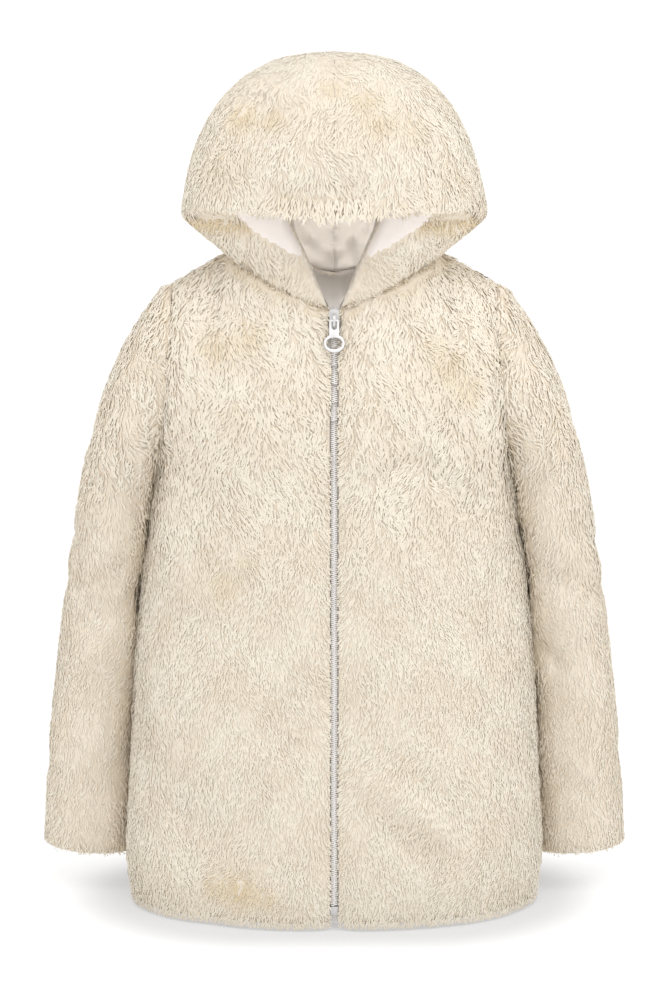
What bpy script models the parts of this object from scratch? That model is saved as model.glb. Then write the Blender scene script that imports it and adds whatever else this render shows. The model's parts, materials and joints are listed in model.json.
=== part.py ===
"""A child's hooded jacket in pile fleece, zipped up and filled out as it is worn, with nobody in it.

Metres. The origin is the middle of the neck's base, +Z is up, the front faces -Y and the wearer's left is +X.
Every cloth piece is a closed wall. Its outer points lie where the tips of the pile are, and its inner points
lie one wall thickness further in. Neighbouring pieces share the points of their seam, drawn a hair apart.
"""
import math

import bmesh
import bpy
import numpy as np
from mathutils import Vector
from mathutils.geometry import tessellate_polygon

# Driving dimensions
WALL = 0.0110  # ground cloth and the pile that stands on it
LINING = 0.0012
SEAM_GAP = 0.0003
ARMPIT_Z = -0.158
SHOULDER_POINT = (0.1280, 0.0000, -0.0175)
NECK_HALF_WIDTH = 0.0850
NECK_FRONT = 0.0780
NECK_REAR = 0.0620
NECK_AXIS_Y = -0.0080
ZIP_SLOT = 0.0034  # from the middle to a front's edge
ZIP_SLOT_TOP = 0.0056  # the same beside the slider
SLOT_WIDENS_FROM = -0.075  # the height where the slot starts to widen
SLOT_WIDENS_OVER = 0.025
ZIP_ROLL = 0.0050  # how far the pile dips where it meets the zip
ZIP_ROLL_BESIDE = 0.0006  # the same one column further out
CROWDING = 0.25  # how much the body's columns crowd away from the side seam
BRIM_OVERHANG = 0.0160  # the brim hangs this far in front of the cheeks
FACING_WIDTH = 0.0380  # smooth turned-out lining under the brim
FACING_DROP = 0.0060  # how much thinner the wall is where that lining has no pile
FACING_REACH = 0.7  # the share of the cheek's height that the smooth lining narrows over
FACING_STEEPNESS = 1.3  # of the step down from the pile to it
BODY_SQUARENESS = 2.2  # exponent of the body's round sections, 2 for an ellipse
SLEEVE_CLEARANCE = 0.0018  # between a sleeve and the body's side
SLEEVE_JOIN = 0.0200  # from this far above the armpit a sleeve keeps its own shape
FOLDS_FADE_UP = 0.6  # the share of the chest's height that the body's folds fade over
FOLDS_FADE_FROM = 0.6  # the share of a half where they start to fade towards the armhole
FOLDS_FADE_OVER = 0.3
FOLDS_ZIP_COLUMNS = 3  # beside the zip they fade over this many columns
ARMHOLE_REACH = 0.3  # the share of a sleeve over which the armhole's own shape fades
SHOULDER_TILT = 0.9  # of the wall at the shoulder seam's end on the neckline
SHOULDER_TILT_STEPS = 2.5  # neckline steps to either side that share in it
OPENING_DEGREES = 22.5  # from the hood's front middle to the side of its opening

# Mesh steps
HALF_COLUMNS = 14  # from the middle of the front or the back to the side
NECK_COLUMNS = 8  # the first of them, which end on the neckline
LOWER_ROWS = 10  # hem to armpit
UPPER_ROWS = 9  # armpit to shoulder
LINING_ROWS = 6  # of those, the ones that the back's lining reaches down
SLEEVE_ROWS = 14
HOOD_COLUMNS = 18  # front middle to back middle
OPENING_COLUMN = 2  # the hood's opening starts here, below the brim
CHEEK_ROWS = 5  # fold to neckline
DIAGONAL_UP = 0.31  # with the next one, a slanting order of points that no seam runs square to
DIAGONAL_ACROSS = 0.57

# The body's sections below the armpits
BODY = (
    # height, half_width, front, rear
    (-0.513, 0.1655, 0.1045, 0.0965),
    (-0.480, 0.1688, 0.1070, 0.0990),
    (-0.430, 0.1660, 0.1060, 0.0980),
    (-0.365, 0.1620, 0.1030, 0.0945),
    (-0.300, 0.1572, 0.1010, 0.0910),
    (-0.225, 0.1490, 0.0995, 0.0885),
    (-0.158, 0.1400, 0.0980, 0.0890),
)
# How the body's columns leave the armpit's level and reach the top edge, as offsets of their curves' handles
CHEST = (
    # share of the half, leave_x, leave_out, leave_up, reach_x, reach_out, reach_down
    (0.00, 0.000, 0.003, 0.045, 0.000, 0.012, 0.042),
    (0.35, 0.002, 0.006, 0.045, 0.002, 0.040, 0.034),
    (0.57, 0.002, 0.010, 0.047, 0.004, 0.078, 0.020),
    (0.80, -0.002, 0.022, 0.038, 0.004, 0.080, 0.008),
    (1.00, -0.006, 0.070, 0.000, -0.004, 0.069, 0.000),
)
NECKLINE = (
    # degrees from the front middle, height
    (0.0, -0.0285),
    (17.0, -0.0215),
    (51.0, -0.0020),
    (90.0, 0.0085),
    (120.0, 0.0060),
    (150.0, -0.0050),
    (180.0, -0.0120),
)
# The sleeve's outer line and underarm line, and its front-to-back size
SLEEVE = (
    # along, outer_x, outer_z, inner_x, inner_z, middle_y, half_depth
    (0.00, 0.1280, -0.0175, 0.1400, -0.1580, 0.0000, 0.0520),
    (0.08, 0.1460, -0.0340, 0.1405, -0.1660, 0.0030, 0.0540),
    (0.16, 0.1630, -0.0600, 0.1405, -0.1740, 0.0070, 0.0550),
    (0.26, 0.1800, -0.0950, 0.1405, -0.1860, 0.0130, 0.0560),
    (0.37, 0.1945, -0.1380, 0.1400, -0.2050, 0.0200, 0.0560),
    (0.50, 0.2080, -0.1980, 0.1395, -0.2450, 0.0290, 0.0550),
    (0.63, 0.2185, -0.2620, 0.1415, -0.2950, 0.0370, 0.0530),
    (0.77, 0.2275, -0.3330, 0.1465, -0.3550, 0.0430, 0.0500),
    (0.90, 0.2360, -0.4100, 0.1520, -0.4250, 0.0470, 0.0470),
    (1.00, 0.2404, -0.4810, 0.1560, -0.4850, 0.0490, 0.0450),
)
# The hood's rings, from its top to the edge of its brim
HOOD_TOP = (0.0, 0.004, 0.1640)
HOOD = (
    # height, half_width, front, rear
    (0.1600, 0.0400, 0.0360, 0.0400),
    (0.1500, 0.0625, 0.0570, 0.0620),
    (0.1350, 0.0820, 0.0760, 0.0830),
    (0.1110, 0.0995, 0.0920, 0.1000),
    (0.0870, 0.1100, 0.1010, 0.1110),
    (0.0650, 0.1157, 0.1035, 0.1150),
    (0.0450, 0.1197, 0.1070, 0.1150),
)
HOOD_BACK_DROP = 0.0140  # the back of the hood slumps by this much at the brim's level
SLUMP_FROM = 80  # degrees from the front middle, and growing to the back middle
FOLD_WHOLE_TO = 36  # the fold under the brim is whole as far as these degrees
FOLD_ENDS_AT = 82
BAND_TO = 34  # the band sewn along the brim's middle ends at these degrees
BAND_PROUD = 0.0015
BAND_DROP = 0.0035  # it hangs this much lower than the brim's ends
BAND_GROOVE = 0.0020  # over the band the brim is drawn in by this much
HOOD_MIDDLE = (0.0, 0.0, 0.06)
CORNER_STEP = 0.0060  # beyond the fold's end the brim's last two rings are this far apart
BRIM_LIFT = 0.4  # the share of the cheek's lift that the brim's own edge has
# How the hood bulges from the fold under its brim to the neckline, and how far its wall's directions turn up
CHEEK = (
    # share from the opening to the back, upper_bulge, lower_bulge, lower_sag, lift
    (0.00, 0.002, 0.003, 0.000, 0.00),
    (0.25, 0.005, 0.001, 0.000, 0.10),
    (0.45, 0.007, -0.002, 0.000, 0.40),
    (0.60, 0.009, -0.001, 0.001, 0.40),
    (1.00, 0.016, 0.002, 0.004, 0.35),
)
# Soft folds of the body: each is a trough from one point to another, or a ridge where its depth is negative
BODY_FOLDS = (
    # from_degrees, from_height, to_degrees, to_height, half_width, depth
    (-62, -0.165, -30, -0.225, 0.016, 0.0030),
    (-66, -0.250, -40, -0.275, 0.018, 0.0030),
    (60, -0.165, 36, -0.215, 0.016, 0.0030),
    (68, -0.215, 48, -0.260, 0.017, 0.0030),
    (-70, -0.380, -22, -0.450, 0.024, 0.0030),
    (14, -0.395, 52, -0.440, 0.022, -0.0030),
    (66, -0.500, 58, -0.400, 0.018, 0.0035),
    (-34, -0.505, -38, -0.430, 0.018, 0.0030),
    (-112, -0.180, -150, -0.260, 0.018, 0.0040),
    (115, -0.175, 148, -0.250, 0.018, 0.0035),
    (-160, -0.505, -165, -0.330, 0.020, 0.0045),
    (172, -0.505, 176, -0.360, 0.018, 0.0035),
    (140, -0.505, 150, -0.320, 0.022, 0.0045),
)
# The same on a sleeve, by degrees round it from its outer line, through the front
SLEEVE_FOLDS = (
    # side, from_degrees, from_along, to_degrees, to_along, half_width, depth
    (1, 120, 0.30, 60, 0.45, 0.016, 0.0030),
    (1, 150, 0.52, 60, 0.60, 0.014, 0.0035),
    (1, 200, 0.55, 280, 0.63, 0.015, 0.0035),
    (1, 130, 0.80, 50, 0.72, 0.014, 0.0025),
    (-1, 125, 0.34, 70, 0.44, 0.016, 0.0030),
    (-1, 140, 0.56, 40, 0.68, 0.014, 0.0035),
    (-1, 210, 0.50, 290, 0.62, 0.015, 0.0035),
    (-1, 120, 0.86, 60, 0.78, 0.014, 0.0025),
)
# Dents in the hood's crown
HOOD_DENTS = (
    # degrees, height, radius, depth
    (-38, 0.112, 0.018, 0.0030),
    (2, 0.138, 0.018, 0.0025),
    (17, 0.112, 0.018, 0.0030),
    (100, 0.085, 0.024, 0.0030),
    (-128, 0.085, 0.026, 0.0035),
    (158, 0.070, 0.024, 0.0030),
)
# These turn degrees round a piece into a length, for its folds
BODY_RADIUS = 0.130
SLEEVE_RADIUS = 0.045
HOOD_RADIUS = 0.110
SLEEVE_LENGTH = 0.420

# The zip
CHAIN_HALF_WIDTH = 0.0026
CHAIN_THICKNESS = 0.0028
CHAIN_ENDS = 0.0060  # no point of the chain is nearer than this to its ends
TAPE_WIDTH = 0.0120
TAPE_THICKNESS = 0.0008
TAPE_GAP = 0.0003  # from the middle to a tape's edge
BOX_HEIGHT = 0.0068
BOX_WIDTH = 0.0064
BOX_ABOVE_HEM = 0.0080
BOX_PROUD = 0.0010  # the box stands this far in front of the chain
SLIDER_TOP = -0.0290
SLIDER_LENGTH = 0.0165
SLIDER_THICKNESS = 0.0048
SLIDER_CLEARANCE = 0.0010  # in front of the tapes
SLIDER_BEVEL = 0.0005
SLIDER_OUTLINE = (
    # share of the length down, half_width
    (0.00, 0.0026),
    (0.06, 0.0038),
    (0.16, 0.0042),
    (0.45, 0.0040),
    (0.80, 0.0033),
    (0.95, 0.0031),
    (1.00, 0.0024),
)
# The loop on the slider that holds the pull
LOOP_WIDTH = 0.0020
LOOP_BAR = 0.0013
LOOP_HALF_LENGTH = 0.0060
LOOP_HEIGHT = 0.0044
LOOP_MIDDLE = -0.0398  # height of its middle, which the pull swings about
LOOP_ROOT = 0.0010  # its feet reach into the body by this much
LOOP_STEPS = 10
# The pull: a bar in the loop, an eye below it, and a ring
PULL_THICKNESS = 0.0015
PULL_HINGE_OUT = 0.0016  # from the slider's face to the pull's axis
EYE_TOP = 0.0009
EYE_HALF_WIDTH = 0.0038
EYE_HOLE_TOP = -0.0009
EYE_HOLE_FOOT = -0.0074
EYE_HOLE_HALF_WIDTH = 0.0021
RING_MIDDLE = -0.0182
RING_HALF_WIDTH = 0.0080
RING_HALF_HEIGHT = 0.0072
RING_HOLE_HALF_WIDTH = 0.0063
RING_HOLE_HALF_HEIGHT = 0.0048
PULL_REST_DEPTH = 0.0004  # the ring's lower edge lies this far below the pile's tips
EYE_CORNER = 0.0016  # radius of the eye's upper corners
CORNER_STEPS = 4
RING_STEPS = 24

# Finishes: colour, roughness, metallic
FINISHES = {
    "pile": ((0.86, 0.80, 0.70), 0.95, 0.0),
    "lining": ((0.80, 0.76, 0.70), 0.45, 0.0),
    "zip_tape": ((0.80, 0.74, 0.70), 0.85, 0.0),
    "zip_teeth": ((0.84, 0.79, 0.76), 0.50, 0.0),
    "zip_metal": ((0.90, 0.90, 0.90), 0.28, 0.85),
}


def unit(vectors):
    """Vectors of length one, along the last axis."""
    vectors = np.asarray(vectors, dtype=float)
    return vectors / np.maximum(np.linalg.norm(vectors, axis=-1, keepdims=True), 1e-12)


def ease(share):
    """Runs smoothly from 0 to 1 as share does."""
    share = min(1.0, max(0.0, share))
    return share * share * (3 - 2 * share)


def along(table, where):
    """A table's values at `where` in its first column, on a smooth curve through its rows."""
    rows = np.array(table, dtype=float)
    places, values = rows[:, 0], rows[:, 1:]
    slopes = np.gradient(values, places, axis=0)
    i = int(np.clip(np.searchsorted(places, where) - 1, 0, len(places) - 2))
    step = places[i + 1] - places[i]
    f = (where - places[i]) / step
    start = (1 + 2 * f) * (1 - f) ** 2 * values[i] + f * (1 - f) ** 2 * step * slopes[i]
    end = f * f * (3 - 2 * f) * values[i + 1] + f * f * (f - 1) * step * slopes[i + 1]
    return start + end


def bezier(points, share):
    """The point at `share` of the cubic curve with four control points."""
    a, b, c, d = points
    rest = 1 - share
    return rest**3 * a + 3 * rest**2 * share * b + 3 * rest * share**2 * c + share**3 * d


def section(half_width, front, rear, degrees, squareness=2.0):
    """A point (x, y) of a rounded section. 0 degrees is the front middle, 180 the back middle."""
    sine = math.sin(math.radians(degrees))
    cosine = math.cos(math.radians(degrees))
    depth = -front if cosine > 0 else rear
    power = 2 / squareness
    return half_width * abs(sine) ** power, depth * abs(cosine) ** power


def trough(here, start, end, half_width, depth):
    """How deep a fold from start to end is at a point of the unrolled cloth."""
    here, start, end = np.array(here), np.array(start), np.array(end)
    run = end - start
    share = np.clip(np.dot(here - start, run) / max(np.dot(run, run), 1e-12), 0, 1)
    away = np.linalg.norm(here - start - share * run) / half_width
    return depth * math.exp(-away * away)


def unrolled(radius, degrees, height):
    """A place on cloth of a given radius, laid flat."""
    return radius * math.radians(degrees), height


def body_fold(degrees, height):
    """The sum of the body's folds at signed degrees round it."""
    here = unrolled(BODY_RADIUS, degrees, height)
    total = 0.0
    for from_degrees, from_height, to_degrees, to_height, half_width, depth in BODY_FOLDS:
        start = unrolled(BODY_RADIUS, from_degrees, from_height)
        end = unrolled(BODY_RADIUS, to_degrees, to_height)
        total += trough(here, start, end, half_width, depth)
    return total


def sleeve_fold(side, degrees, share):
    """The sum of one sleeve's folds at degrees round it and a share of its length."""
    here = unrolled(SLEEVE_RADIUS, degrees, SLEEVE_LENGTH * share)
    total = 0.0
    for fold_side, from_degrees, from_share, to_degrees, to_share, half_width, depth in SLEEVE_FOLDS:
        if fold_side == side:
            start = unrolled(SLEEVE_RADIUS, from_degrees, SLEEVE_LENGTH * from_share)
            end = unrolled(SLEEVE_RADIUS, to_degrees, SLEEVE_LENGTH * to_share)
            total += trough(here, start, end, half_width, depth)
    return total


def hood_dent(degrees, height):
    """The sum of the hood's dents at signed degrees round it."""
    here = unrolled(HOOD_RADIUS, degrees, height)
    total = 0.0
    for dent_degrees, dent_height, radius, depth in HOOD_DENTS:
        there = unrolled(HOOD_RADIUS, dent_degrees, dent_height)
        total += trough(here, there, there, radius, depth)
    return total


def zip_slot(height):
    """Half the slot between the fronts, which widens beside the slider."""
    return ZIP_SLOT + (ZIP_SLOT_TOP - ZIP_SLOT) * ease((height - SLOT_WIDENS_FROM) / SLOT_WIDENS_OVER)


def slot_share(step):
    """How much of the zip's slot a column or a neckline step is moved aside by."""
    return max(0.0, 1 - step / NECK_COLUMNS) ** 2


def neckline(step, slot=True):
    """The neckline's point at a step from 0, at the zip, over NECK_COLUMNS at the side, to the nape."""
    degrees = 90 * step / NECK_COLUMNS
    x, y = section(NECK_HALF_WIDTH, NECK_FRONT, NECK_REAR, degrees)
    if slot:
        x += ZIP_SLOT_TOP * slot_share(step)
    return np.array((x, y, along(NECKLINE, degrees)[0]))


def neckline_inward(step):
    """The direction through the wall at the neckline: level, but tilted down at the shoulder seam."""
    x, y, _ = neckline(step)
    level = unit((-x, NECK_AXIS_Y - y, 0.0))
    tilt = SHOULDER_TILT * max(0.0, 1 - abs(step - NECK_COLUMNS) / SHOULDER_TILT_STEPS)
    return unit(level - np.array((0.0, 0.0, tilt)))


def armhole_inward(ring):
    """The directions from an armhole's points towards its middle, in its own upright plane."""
    middle = (ARMPIT_Z + SHOULDER_POINT[2]) / 2
    inward = np.zeros_like(ring)
    inward[:, 1] = -ring[:, 1]
    inward[:, 2] = middle - ring[:, 2]
    return unit(inward)


def inward_of(outer, middle, ring=False):
    """Directions through a grid's surface, on average towards the middle given."""
    rows = np.gradient(outer, axis=0)
    if ring:
        columns = np.roll(outer, -1, axis=1) - np.roll(outer, 1, axis=1)
    else:
        columns = np.gradient(outer, axis=1)
    across = unit(np.cross(rows, columns))
    return across if np.sum(across * (middle - outer)) > 0 else -across


def body_degrees(share, back):
    """The place round the body's section of a column at a share of the half."""
    degrees = 90 * ((1 - CROWDING) * share + CROWDING * share**4)
    return 180 - degrees if back else degrees


def body_column(column, back):
    """The plain outer points of one column, from hem to top edge."""
    share = column / HALF_COLUMNS
    points = []
    for row in range(LOWER_ROWS + 1):
        height = BODY[0][0] + (ARMPIT_Z - BODY[0][0]) * row / LOWER_ROWS
        half_width, front, rear = along(BODY, height)
        x, y = section(half_width, front, rear, body_degrees(share, back), BODY_SQUARENESS)
        points.append(np.array((x, y, height)))
    start = points[-1]
    if column <= NECK_COLUMNS:
        end = neckline(2 * NECK_COLUMNS - column if back else column, slot=False)
    else:
        seam = (column - NECK_COLUMNS) / (HALF_COLUMNS - NECK_COLUMNS)
        end = (1 - seam) * neckline(NECK_COLUMNS) + seam * np.array(SHOULDER_POINT)
    leave_x, leave_out, leave_up, reach_x, reach_out, reach_down = along(CHEST, share)
    face = 1 if back else -1
    leave = start + np.array((leave_x, face * leave_out, leave_up))
    reach = end + np.array((reach_x, face * reach_out, -reach_down))
    for step in range(1, UPPER_ROWS + 1):
        points.append(bezier((start, leave, reach, end), step / UPPER_ROWS))
    return points


def body_half(side, back):
    """Outer points and inward directions of half a front or back, on the +X side, to be mirrored for side -1.

    Rows run from the hem to the top edge, and columns from the middle to the side."""
    outer = np.array([body_column(column, back) for column in range(HALF_COLUMNS + 1)]).swapaxes(0, 1)
    if not back:
        for column in range(NECK_COLUMNS):
            for point in outer[:, column]:
                point[0] += slot_share(column) * zip_slot(point[2])
    inward = inward_of(outer, np.array((0.0, 0.0, -0.25)))
    inward[:, 0, 0] = 0
    inward[:LOWER_ROWS, -1] = (-1, 0, 0)
    inward[LOWER_ROWS:, -1] = armhole_inward(outer[LOWER_ROWS:, -1])
    inward[LOWER_ROWS:, -2] = unit(inward[LOWER_ROWS:, -1] + 2 * inward[LOWER_ROWS:, -3])
    inward[-1, NECK_COLUMNS:] = (0, 0, -1)
    for column in range(NECK_COLUMNS + 1):
        inward[-1, column] = neckline_inward(2 * NECK_COLUMNS - column if back else column)
    inward = unit(inward)
    for column in range(HALF_COLUMNS + 1):
        share = column / HALF_COLUMNS
        degrees = side * body_degrees(share, back)
        for row in range(LOWER_ROWS + UPPER_ROWS):
            fade = 1 - ease((row - LOWER_ROWS) / UPPER_ROWS / FOLDS_FADE_UP)
            if row >= LOWER_ROWS:
                fade *= 1 - ease((share - FOLDS_FADE_FROM) / FOLDS_FADE_OVER)
            if not back:
                fade *= ease(column / FOLDS_ZIP_COLUMNS)
            outer[row, column] += fade * body_fold(degrees, outer[row, column, 2]) * inward[row, column]
    return outer, inward


def outside_body(point):
    """Moves a sleeve's point level, out of the body and just clear of it."""
    x, y, z = point
    if z > ARMPIT_Z + SLEEVE_JOIN:
        return point
    half_width, front, rear = along(BODY, min(ARMPIT_Z, z))
    depth = rear if y > 0 else front
    across = x / (half_width + SLEEVE_CLEARANCE)
    through = abs(y) / (depth + SLEEVE_CLEARANCE)
    reach = (across**BODY_SQUARENESS + through**BODY_SQUARENESS) ** (1 / BODY_SQUARENESS)
    return point if reach >= 1 else np.array((x / reach, y / reach, z))


def sleeve_ring(share):
    """Points round the sleeve at a share of its length, from the underarm up the front and down the back."""
    outer_x, outer_z, inner_x, inner_z, middle_y, half_depth = along(SLEEVE, share)
    outer_line = np.array((outer_x, middle_y, outer_z))
    inner_line = np.array((inner_x, middle_y, inner_z))
    middle = (outer_line + inner_line) / 2
    half = (outer_line - inner_line) / 2
    count = 2 * UPPER_ROWS
    ring = []
    for step in range(count):
        angle = 2 * math.pi * step / count
        ring.append(middle - half * math.cos(angle) - np.array((0, half_depth * math.sin(angle), 0)))
    return np.array(ring), middle


def sleeve_grid(side, armhole):
    """Outer points and inward directions of a sleeve on the +X side, in rows from the armhole to the cuff."""
    count = 2 * UPPER_ROWS
    shape = armhole - sleeve_ring(0.0)[0]
    outer = np.zeros((SLEEVE_ROWS + 1, count, 3))
    middles = np.zeros((SLEEVE_ROWS + 1, 1, 3))
    for row in range(SLEEVE_ROWS + 1):
        share = row / SLEEVE_ROWS
        ring, middles[row, 0] = sleeve_ring(share)
        outer[row] = ring + shape * max(0.0, 1 - share / ARMHOLE_REACH) ** 2
        if row:
            outer[row] = [outside_body(point) for point in outer[row]]
    inward = inward_of(outer, middles, ring=True)
    inward[0] = armhole_inward(armhole)
    for row in range(1, SLEEVE_ROWS + 1):
        for column in range(count):
            degrees = (180 - 360 * column / count) % 360
            outer[row, column] += sleeve_fold(side, degrees, row / SLEEVE_ROWS) * inward[row, column]
    return outer, inward


def fold_share(degrees):
    """How deep the fold under the brim is round the hood: whole in front, none beyond the corners."""
    return 1 - ease((degrees - FOLD_WHOLE_TO) / (FOLD_ENDS_AT - FOLD_WHOLE_TO))


def hood_degrees(column):
    """The place round the hood of a column, from 0 at the front middle to 180 at the back middle."""
    if column <= OPENING_COLUMN:
        return OPENING_DEGREES * column / OPENING_COLUMN
    share = (column - OPENING_COLUMN) / (HOOD_COLUMNS - OPENING_COLUMN)
    return OPENING_DEGREES + (180 - OPENING_DEGREES) * share


def hood_half(side):
    """Outer points and inward directions of half the hood, on the +X side, from its top to the neckline.

    The brim hangs over the cheeks: at the fold under it the wall steps back in, to nothing at the corners."""
    brim_row = len(HOOD)
    outer = np.zeros((brim_row + 2 + CHEEK_ROWS, HOOD_COLUMNS + 1, 3))
    outer[0] = HOOD_TOP
    for column in range(HOOD_COLUMNS + 1):
        degrees = hood_degrees(column)
        slump = HOOD_BACK_DROP * ease((degrees - SLUMP_FROM) / (180 - SLUMP_FROM))
        for row, (height, half_width, front, rear) in enumerate(HOOD, 1):
            down = (HOOD_TOP[2] - height) / (HOOD_TOP[2] - HOOD[-1][0])
            outer[row, column] = (*section(half_width, front, rear, degrees), height - slump * down)
        band = ease(1 - degrees / BAND_TO)
        outer[brim_row, column] -= (0, BAND_PROUD * band, BAND_DROP * band)
        outer[brim_row - 1, column, 1] += BAND_GROOVE * band
        cheek_column(outer, column, degrees, slump)
    outer[brim_row + 2:, :OPENING_COLUMN] = outer[brim_row + 2:, OPENING_COLUMN:OPENING_COLUMN + 1]
    inward = hood_inward(outer)
    for row in range(1, brim_row):
        for column in range(HOOD_COLUMNS + 1):
            degrees = side * hood_degrees(column)
            outer[row, column] += hood_dent(degrees, outer[row, column, 2]) * inward[row, column]
    thin_facing(outer, inward)
    return outer, inward


def cheek_column(outer, column, degrees, slump):
    """Fills in one column of the hood below its brim: the fold's inner edge, then down to the neckline."""
    ledge_row = len(HOOD) + 1
    folded = fold_share(degrees)
    height, half_width, front, rear = HOOD[-1]
    x, y = section(half_width, front - BRIM_OVERHANG * folded, rear, degrees)
    top = np.array((x, y, height - slump - CORNER_STEP * (1 - folded)))
    outer[ledge_row, column] = top
    if column < OPENING_COLUMN:
        return
    share = (column - OPENING_COLUMN) / (HOOD_COLUMNS - OPENING_COLUMN)
    end = neckline(column - OPENING_COLUMN)
    out = unit((end[0], end[1] - NECK_AXIS_Y, 0.0))
    upper_bulge, lower_bulge, lower_sag, _ = along(CHEEK, share)
    upper = top + (end - top) / 3 + upper_bulge * out
    lower = top + (end - top) * 2 / 3 + lower_bulge * out - np.array((0, 0, lower_sag))
    for row in range(1, CHEEK_ROWS + 1):
        outer[ledge_row + row, column] = bezier((top, upper, lower, end), row / CHEEK_ROWS)


def hood_inward(outer):
    """Directions through the hood's wall: square to it above the brim's edge, eased round the fold below."""
    brim_row = len(HOOD)
    inward = inward_of(outer, np.array(HOOD_MIDDLE))
    inward[:brim_row] = inward_of(outer[:brim_row + 1], np.array(HOOD_MIDDLE))[:brim_row]
    inward[0] = (0, 0, -1)
    for column in range(HOOD_COLUMNS + 1):
        folded = fold_share(hood_degrees(column))
        share = max(0.0, (column - OPENING_COLUMN) / (HOOD_COLUMNS - OPENING_COLUMN))
        lift = along(CHEEK, share)[-1]
        for row in range(brim_row, outer.shape[0]):
            x, y, _ = outer[row, column]
            level = unit((-x, NECK_AXIS_Y - y, 0.0))
            turn = BRIM_LIFT * lift if row == brim_row else lift
            if row <= brim_row + 1:
                turn = folded + turn * (1 - folded)
            inward[row, column] = unit(level + np.array((0, 0, turn)))
            if row <= brim_row + 1:
                inward[row, column] *= math.sqrt(1 + folded * folded)
    for column in range(OPENING_COLUMN, HOOD_COLUMNS + 1):
        inward[-1, column] = neckline_inward(column - OPENING_COLUMN)
    inward[:, -1, 0] = 0
    inward[:brim_row + 1, 0, 0] = 0
    return inward


def thin_facing(outer, inward):
    """Moves the cheek's outer points in where the smooth lining is turned out and no pile stands."""
    first_row = len(HOOD) + 1
    edge = outer[:, OPENING_COLUMN].copy()
    for row in range(first_row, outer.shape[0] - 1):
        width = FACING_WIDTH * (1 - (row - first_row) / CHEEK_ROWS / FACING_REACH)
        for column in range(OPENING_COLUMN, HOOD_COLUMNS + 1):
            away = np.linalg.norm(outer[row, column] - edge[row])
            if width > 0 and away < width:
                step = ease(FACING_STEEPNESS * (1 - away / width))
                outer[row, column] += FACING_DROP * step * inward[row, column]


def mirrored(points, side):
    """A copy of points or directions, mirrored to the side given."""
    points = points.copy()
    points[..., 0] *= side
    return points


def part_seam(outer, inner, away):
    """Draws one edge of a wall back by half the seam gap, square to the seam's own face, along `away`."""
    tangent = np.gradient(outer, axis=0)
    apart = unit(np.cross(tangent, inner - outer))
    sign = np.sign(np.sum(apart * np.array(away, dtype=float), axis=-1, keepdims=True))
    outer += apart * sign * SEAM_GAP / 2
    inner += apart * sign * SEAM_GAP / 2


def grid_cells(rows, columns, ring=False, skip=None, pole=False):
    """Triangles of a grid of points, numbered row by row. skip(row, column) leaves a cell out."""
    cells = []
    for row in range(rows - 1):
        for column in range(columns if ring else columns - 1):
            if skip and skip(row, column):
                continue
            beside = (column + 1) % columns
            a, b = row * columns + column, row * columns + beside
            c, d = a + columns, b + columns
            if pole and row == 0:
                cells.append((0, c, d))
            else:
                cells += [(a, c, d), (a, d, b)]
    return cells


def finish(name):
    """The material of one kind of cloth or metal."""
    found = bpy.data.materials.get(name)
    if found:
        return found
    colour, roughness, metallic = FINISHES[name]
    material = bpy.data.materials.new(name)
    material.use_nodes = True
    shader = material.node_tree.nodes["Principled BSDF"]
    shader.inputs["Base Color"].default_value = (*colour, 1.0)
    shader.inputs["Roughness"].default_value = roughness
    shader.inputs["Metallic"].default_value = metallic
    material.diffuse_color = (*colour, 1.0)
    return material


def add_object(name, shape, finish_name):
    """Puts a bmesh into the scene as a named object whose faces point out."""
    bmesh.ops.recalc_face_normals(shape, faces=shape.faces[:])
    mesh = bpy.data.meshes.new(name)
    shape.to_mesh(mesh)
    shape.free()
    mesh.shade_smooth()
    mesh.set_sharp_from_angle(angle=math.radians(40))
    mesh.materials.append(finish(finish_name))
    item = bpy.data.objects.new(name, mesh)
    bpy.context.scene.collection.objects.link(item)
    return item


def diagonal_order(point):
    """Orders a seam's points alike for both pieces, so that their rims are split along the same lines."""
    return point[1] + DIAGONAL_UP * point[2] - DIAGONAL_ACROSS * abs(point[0])


def add_wall(name, outer, inner, cells, finish_name):
    """A closed wall between two sheets of points, with a rim along their free edges."""
    outer, inner = outer.reshape(-1, 3), inner.reshape(-1, 3)
    shape = bmesh.new()
    used = sorted({point for cell in cells for point in cell})
    front = {point: shape.verts.new(outer[point]) for point in used}
    rear = {point: shape.verts.new(inner[point]) for point in used}
    edges = {(cell[i], cell[(i + 1) % 3]) for cell in cells for i in range(3)}
    for cell in cells:
        shape.faces.new([front[point] for point in cell])
        shape.faces.new([rear[point] for point in reversed(cell)])
    for a, b in sorted(edges):
        if (b, a) in edges:
            continue
        if diagonal_order(outer[a]) > diagonal_order(outer[b]):
            shape.faces.new((front[b], front[a], rear[b]))
            shape.faces.new((front[a], rear[a], rear[b]))
        else:
            shape.faces.new((front[b], front[a], rear[a]))
            shape.faces.new((front[b], rear[a], rear[b]))
    return add_object(name, shape, finish_name)


def make_tape(name, side, inner, inward):
    """A zip tape, against the inside of a front's edge and across its half of the slot."""
    reach = TAPE_WIDTH - inner[:, 0, 0]
    width = inner[:, 1, 0] - inner[:, 0, 0]
    share = (reach / width)[:, None]
    middle = inner[:, 0].copy()
    middle[:, 0] = TAPE_GAP
    far = inner[:, 0] + (inner[:, 1] - inner[:, 0]) * share
    outer = np.stack((middle, inner[:, 0], far), axis=1) + inward[:, :1] * SEAM_GAP
    rear = outer + inward[:, :1] * TAPE_THICKNESS
    add_wall(name, mirrored(outer, side), mirrored(rear, side), grid_cells(*outer.shape[:2]), "zip_tape")


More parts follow.
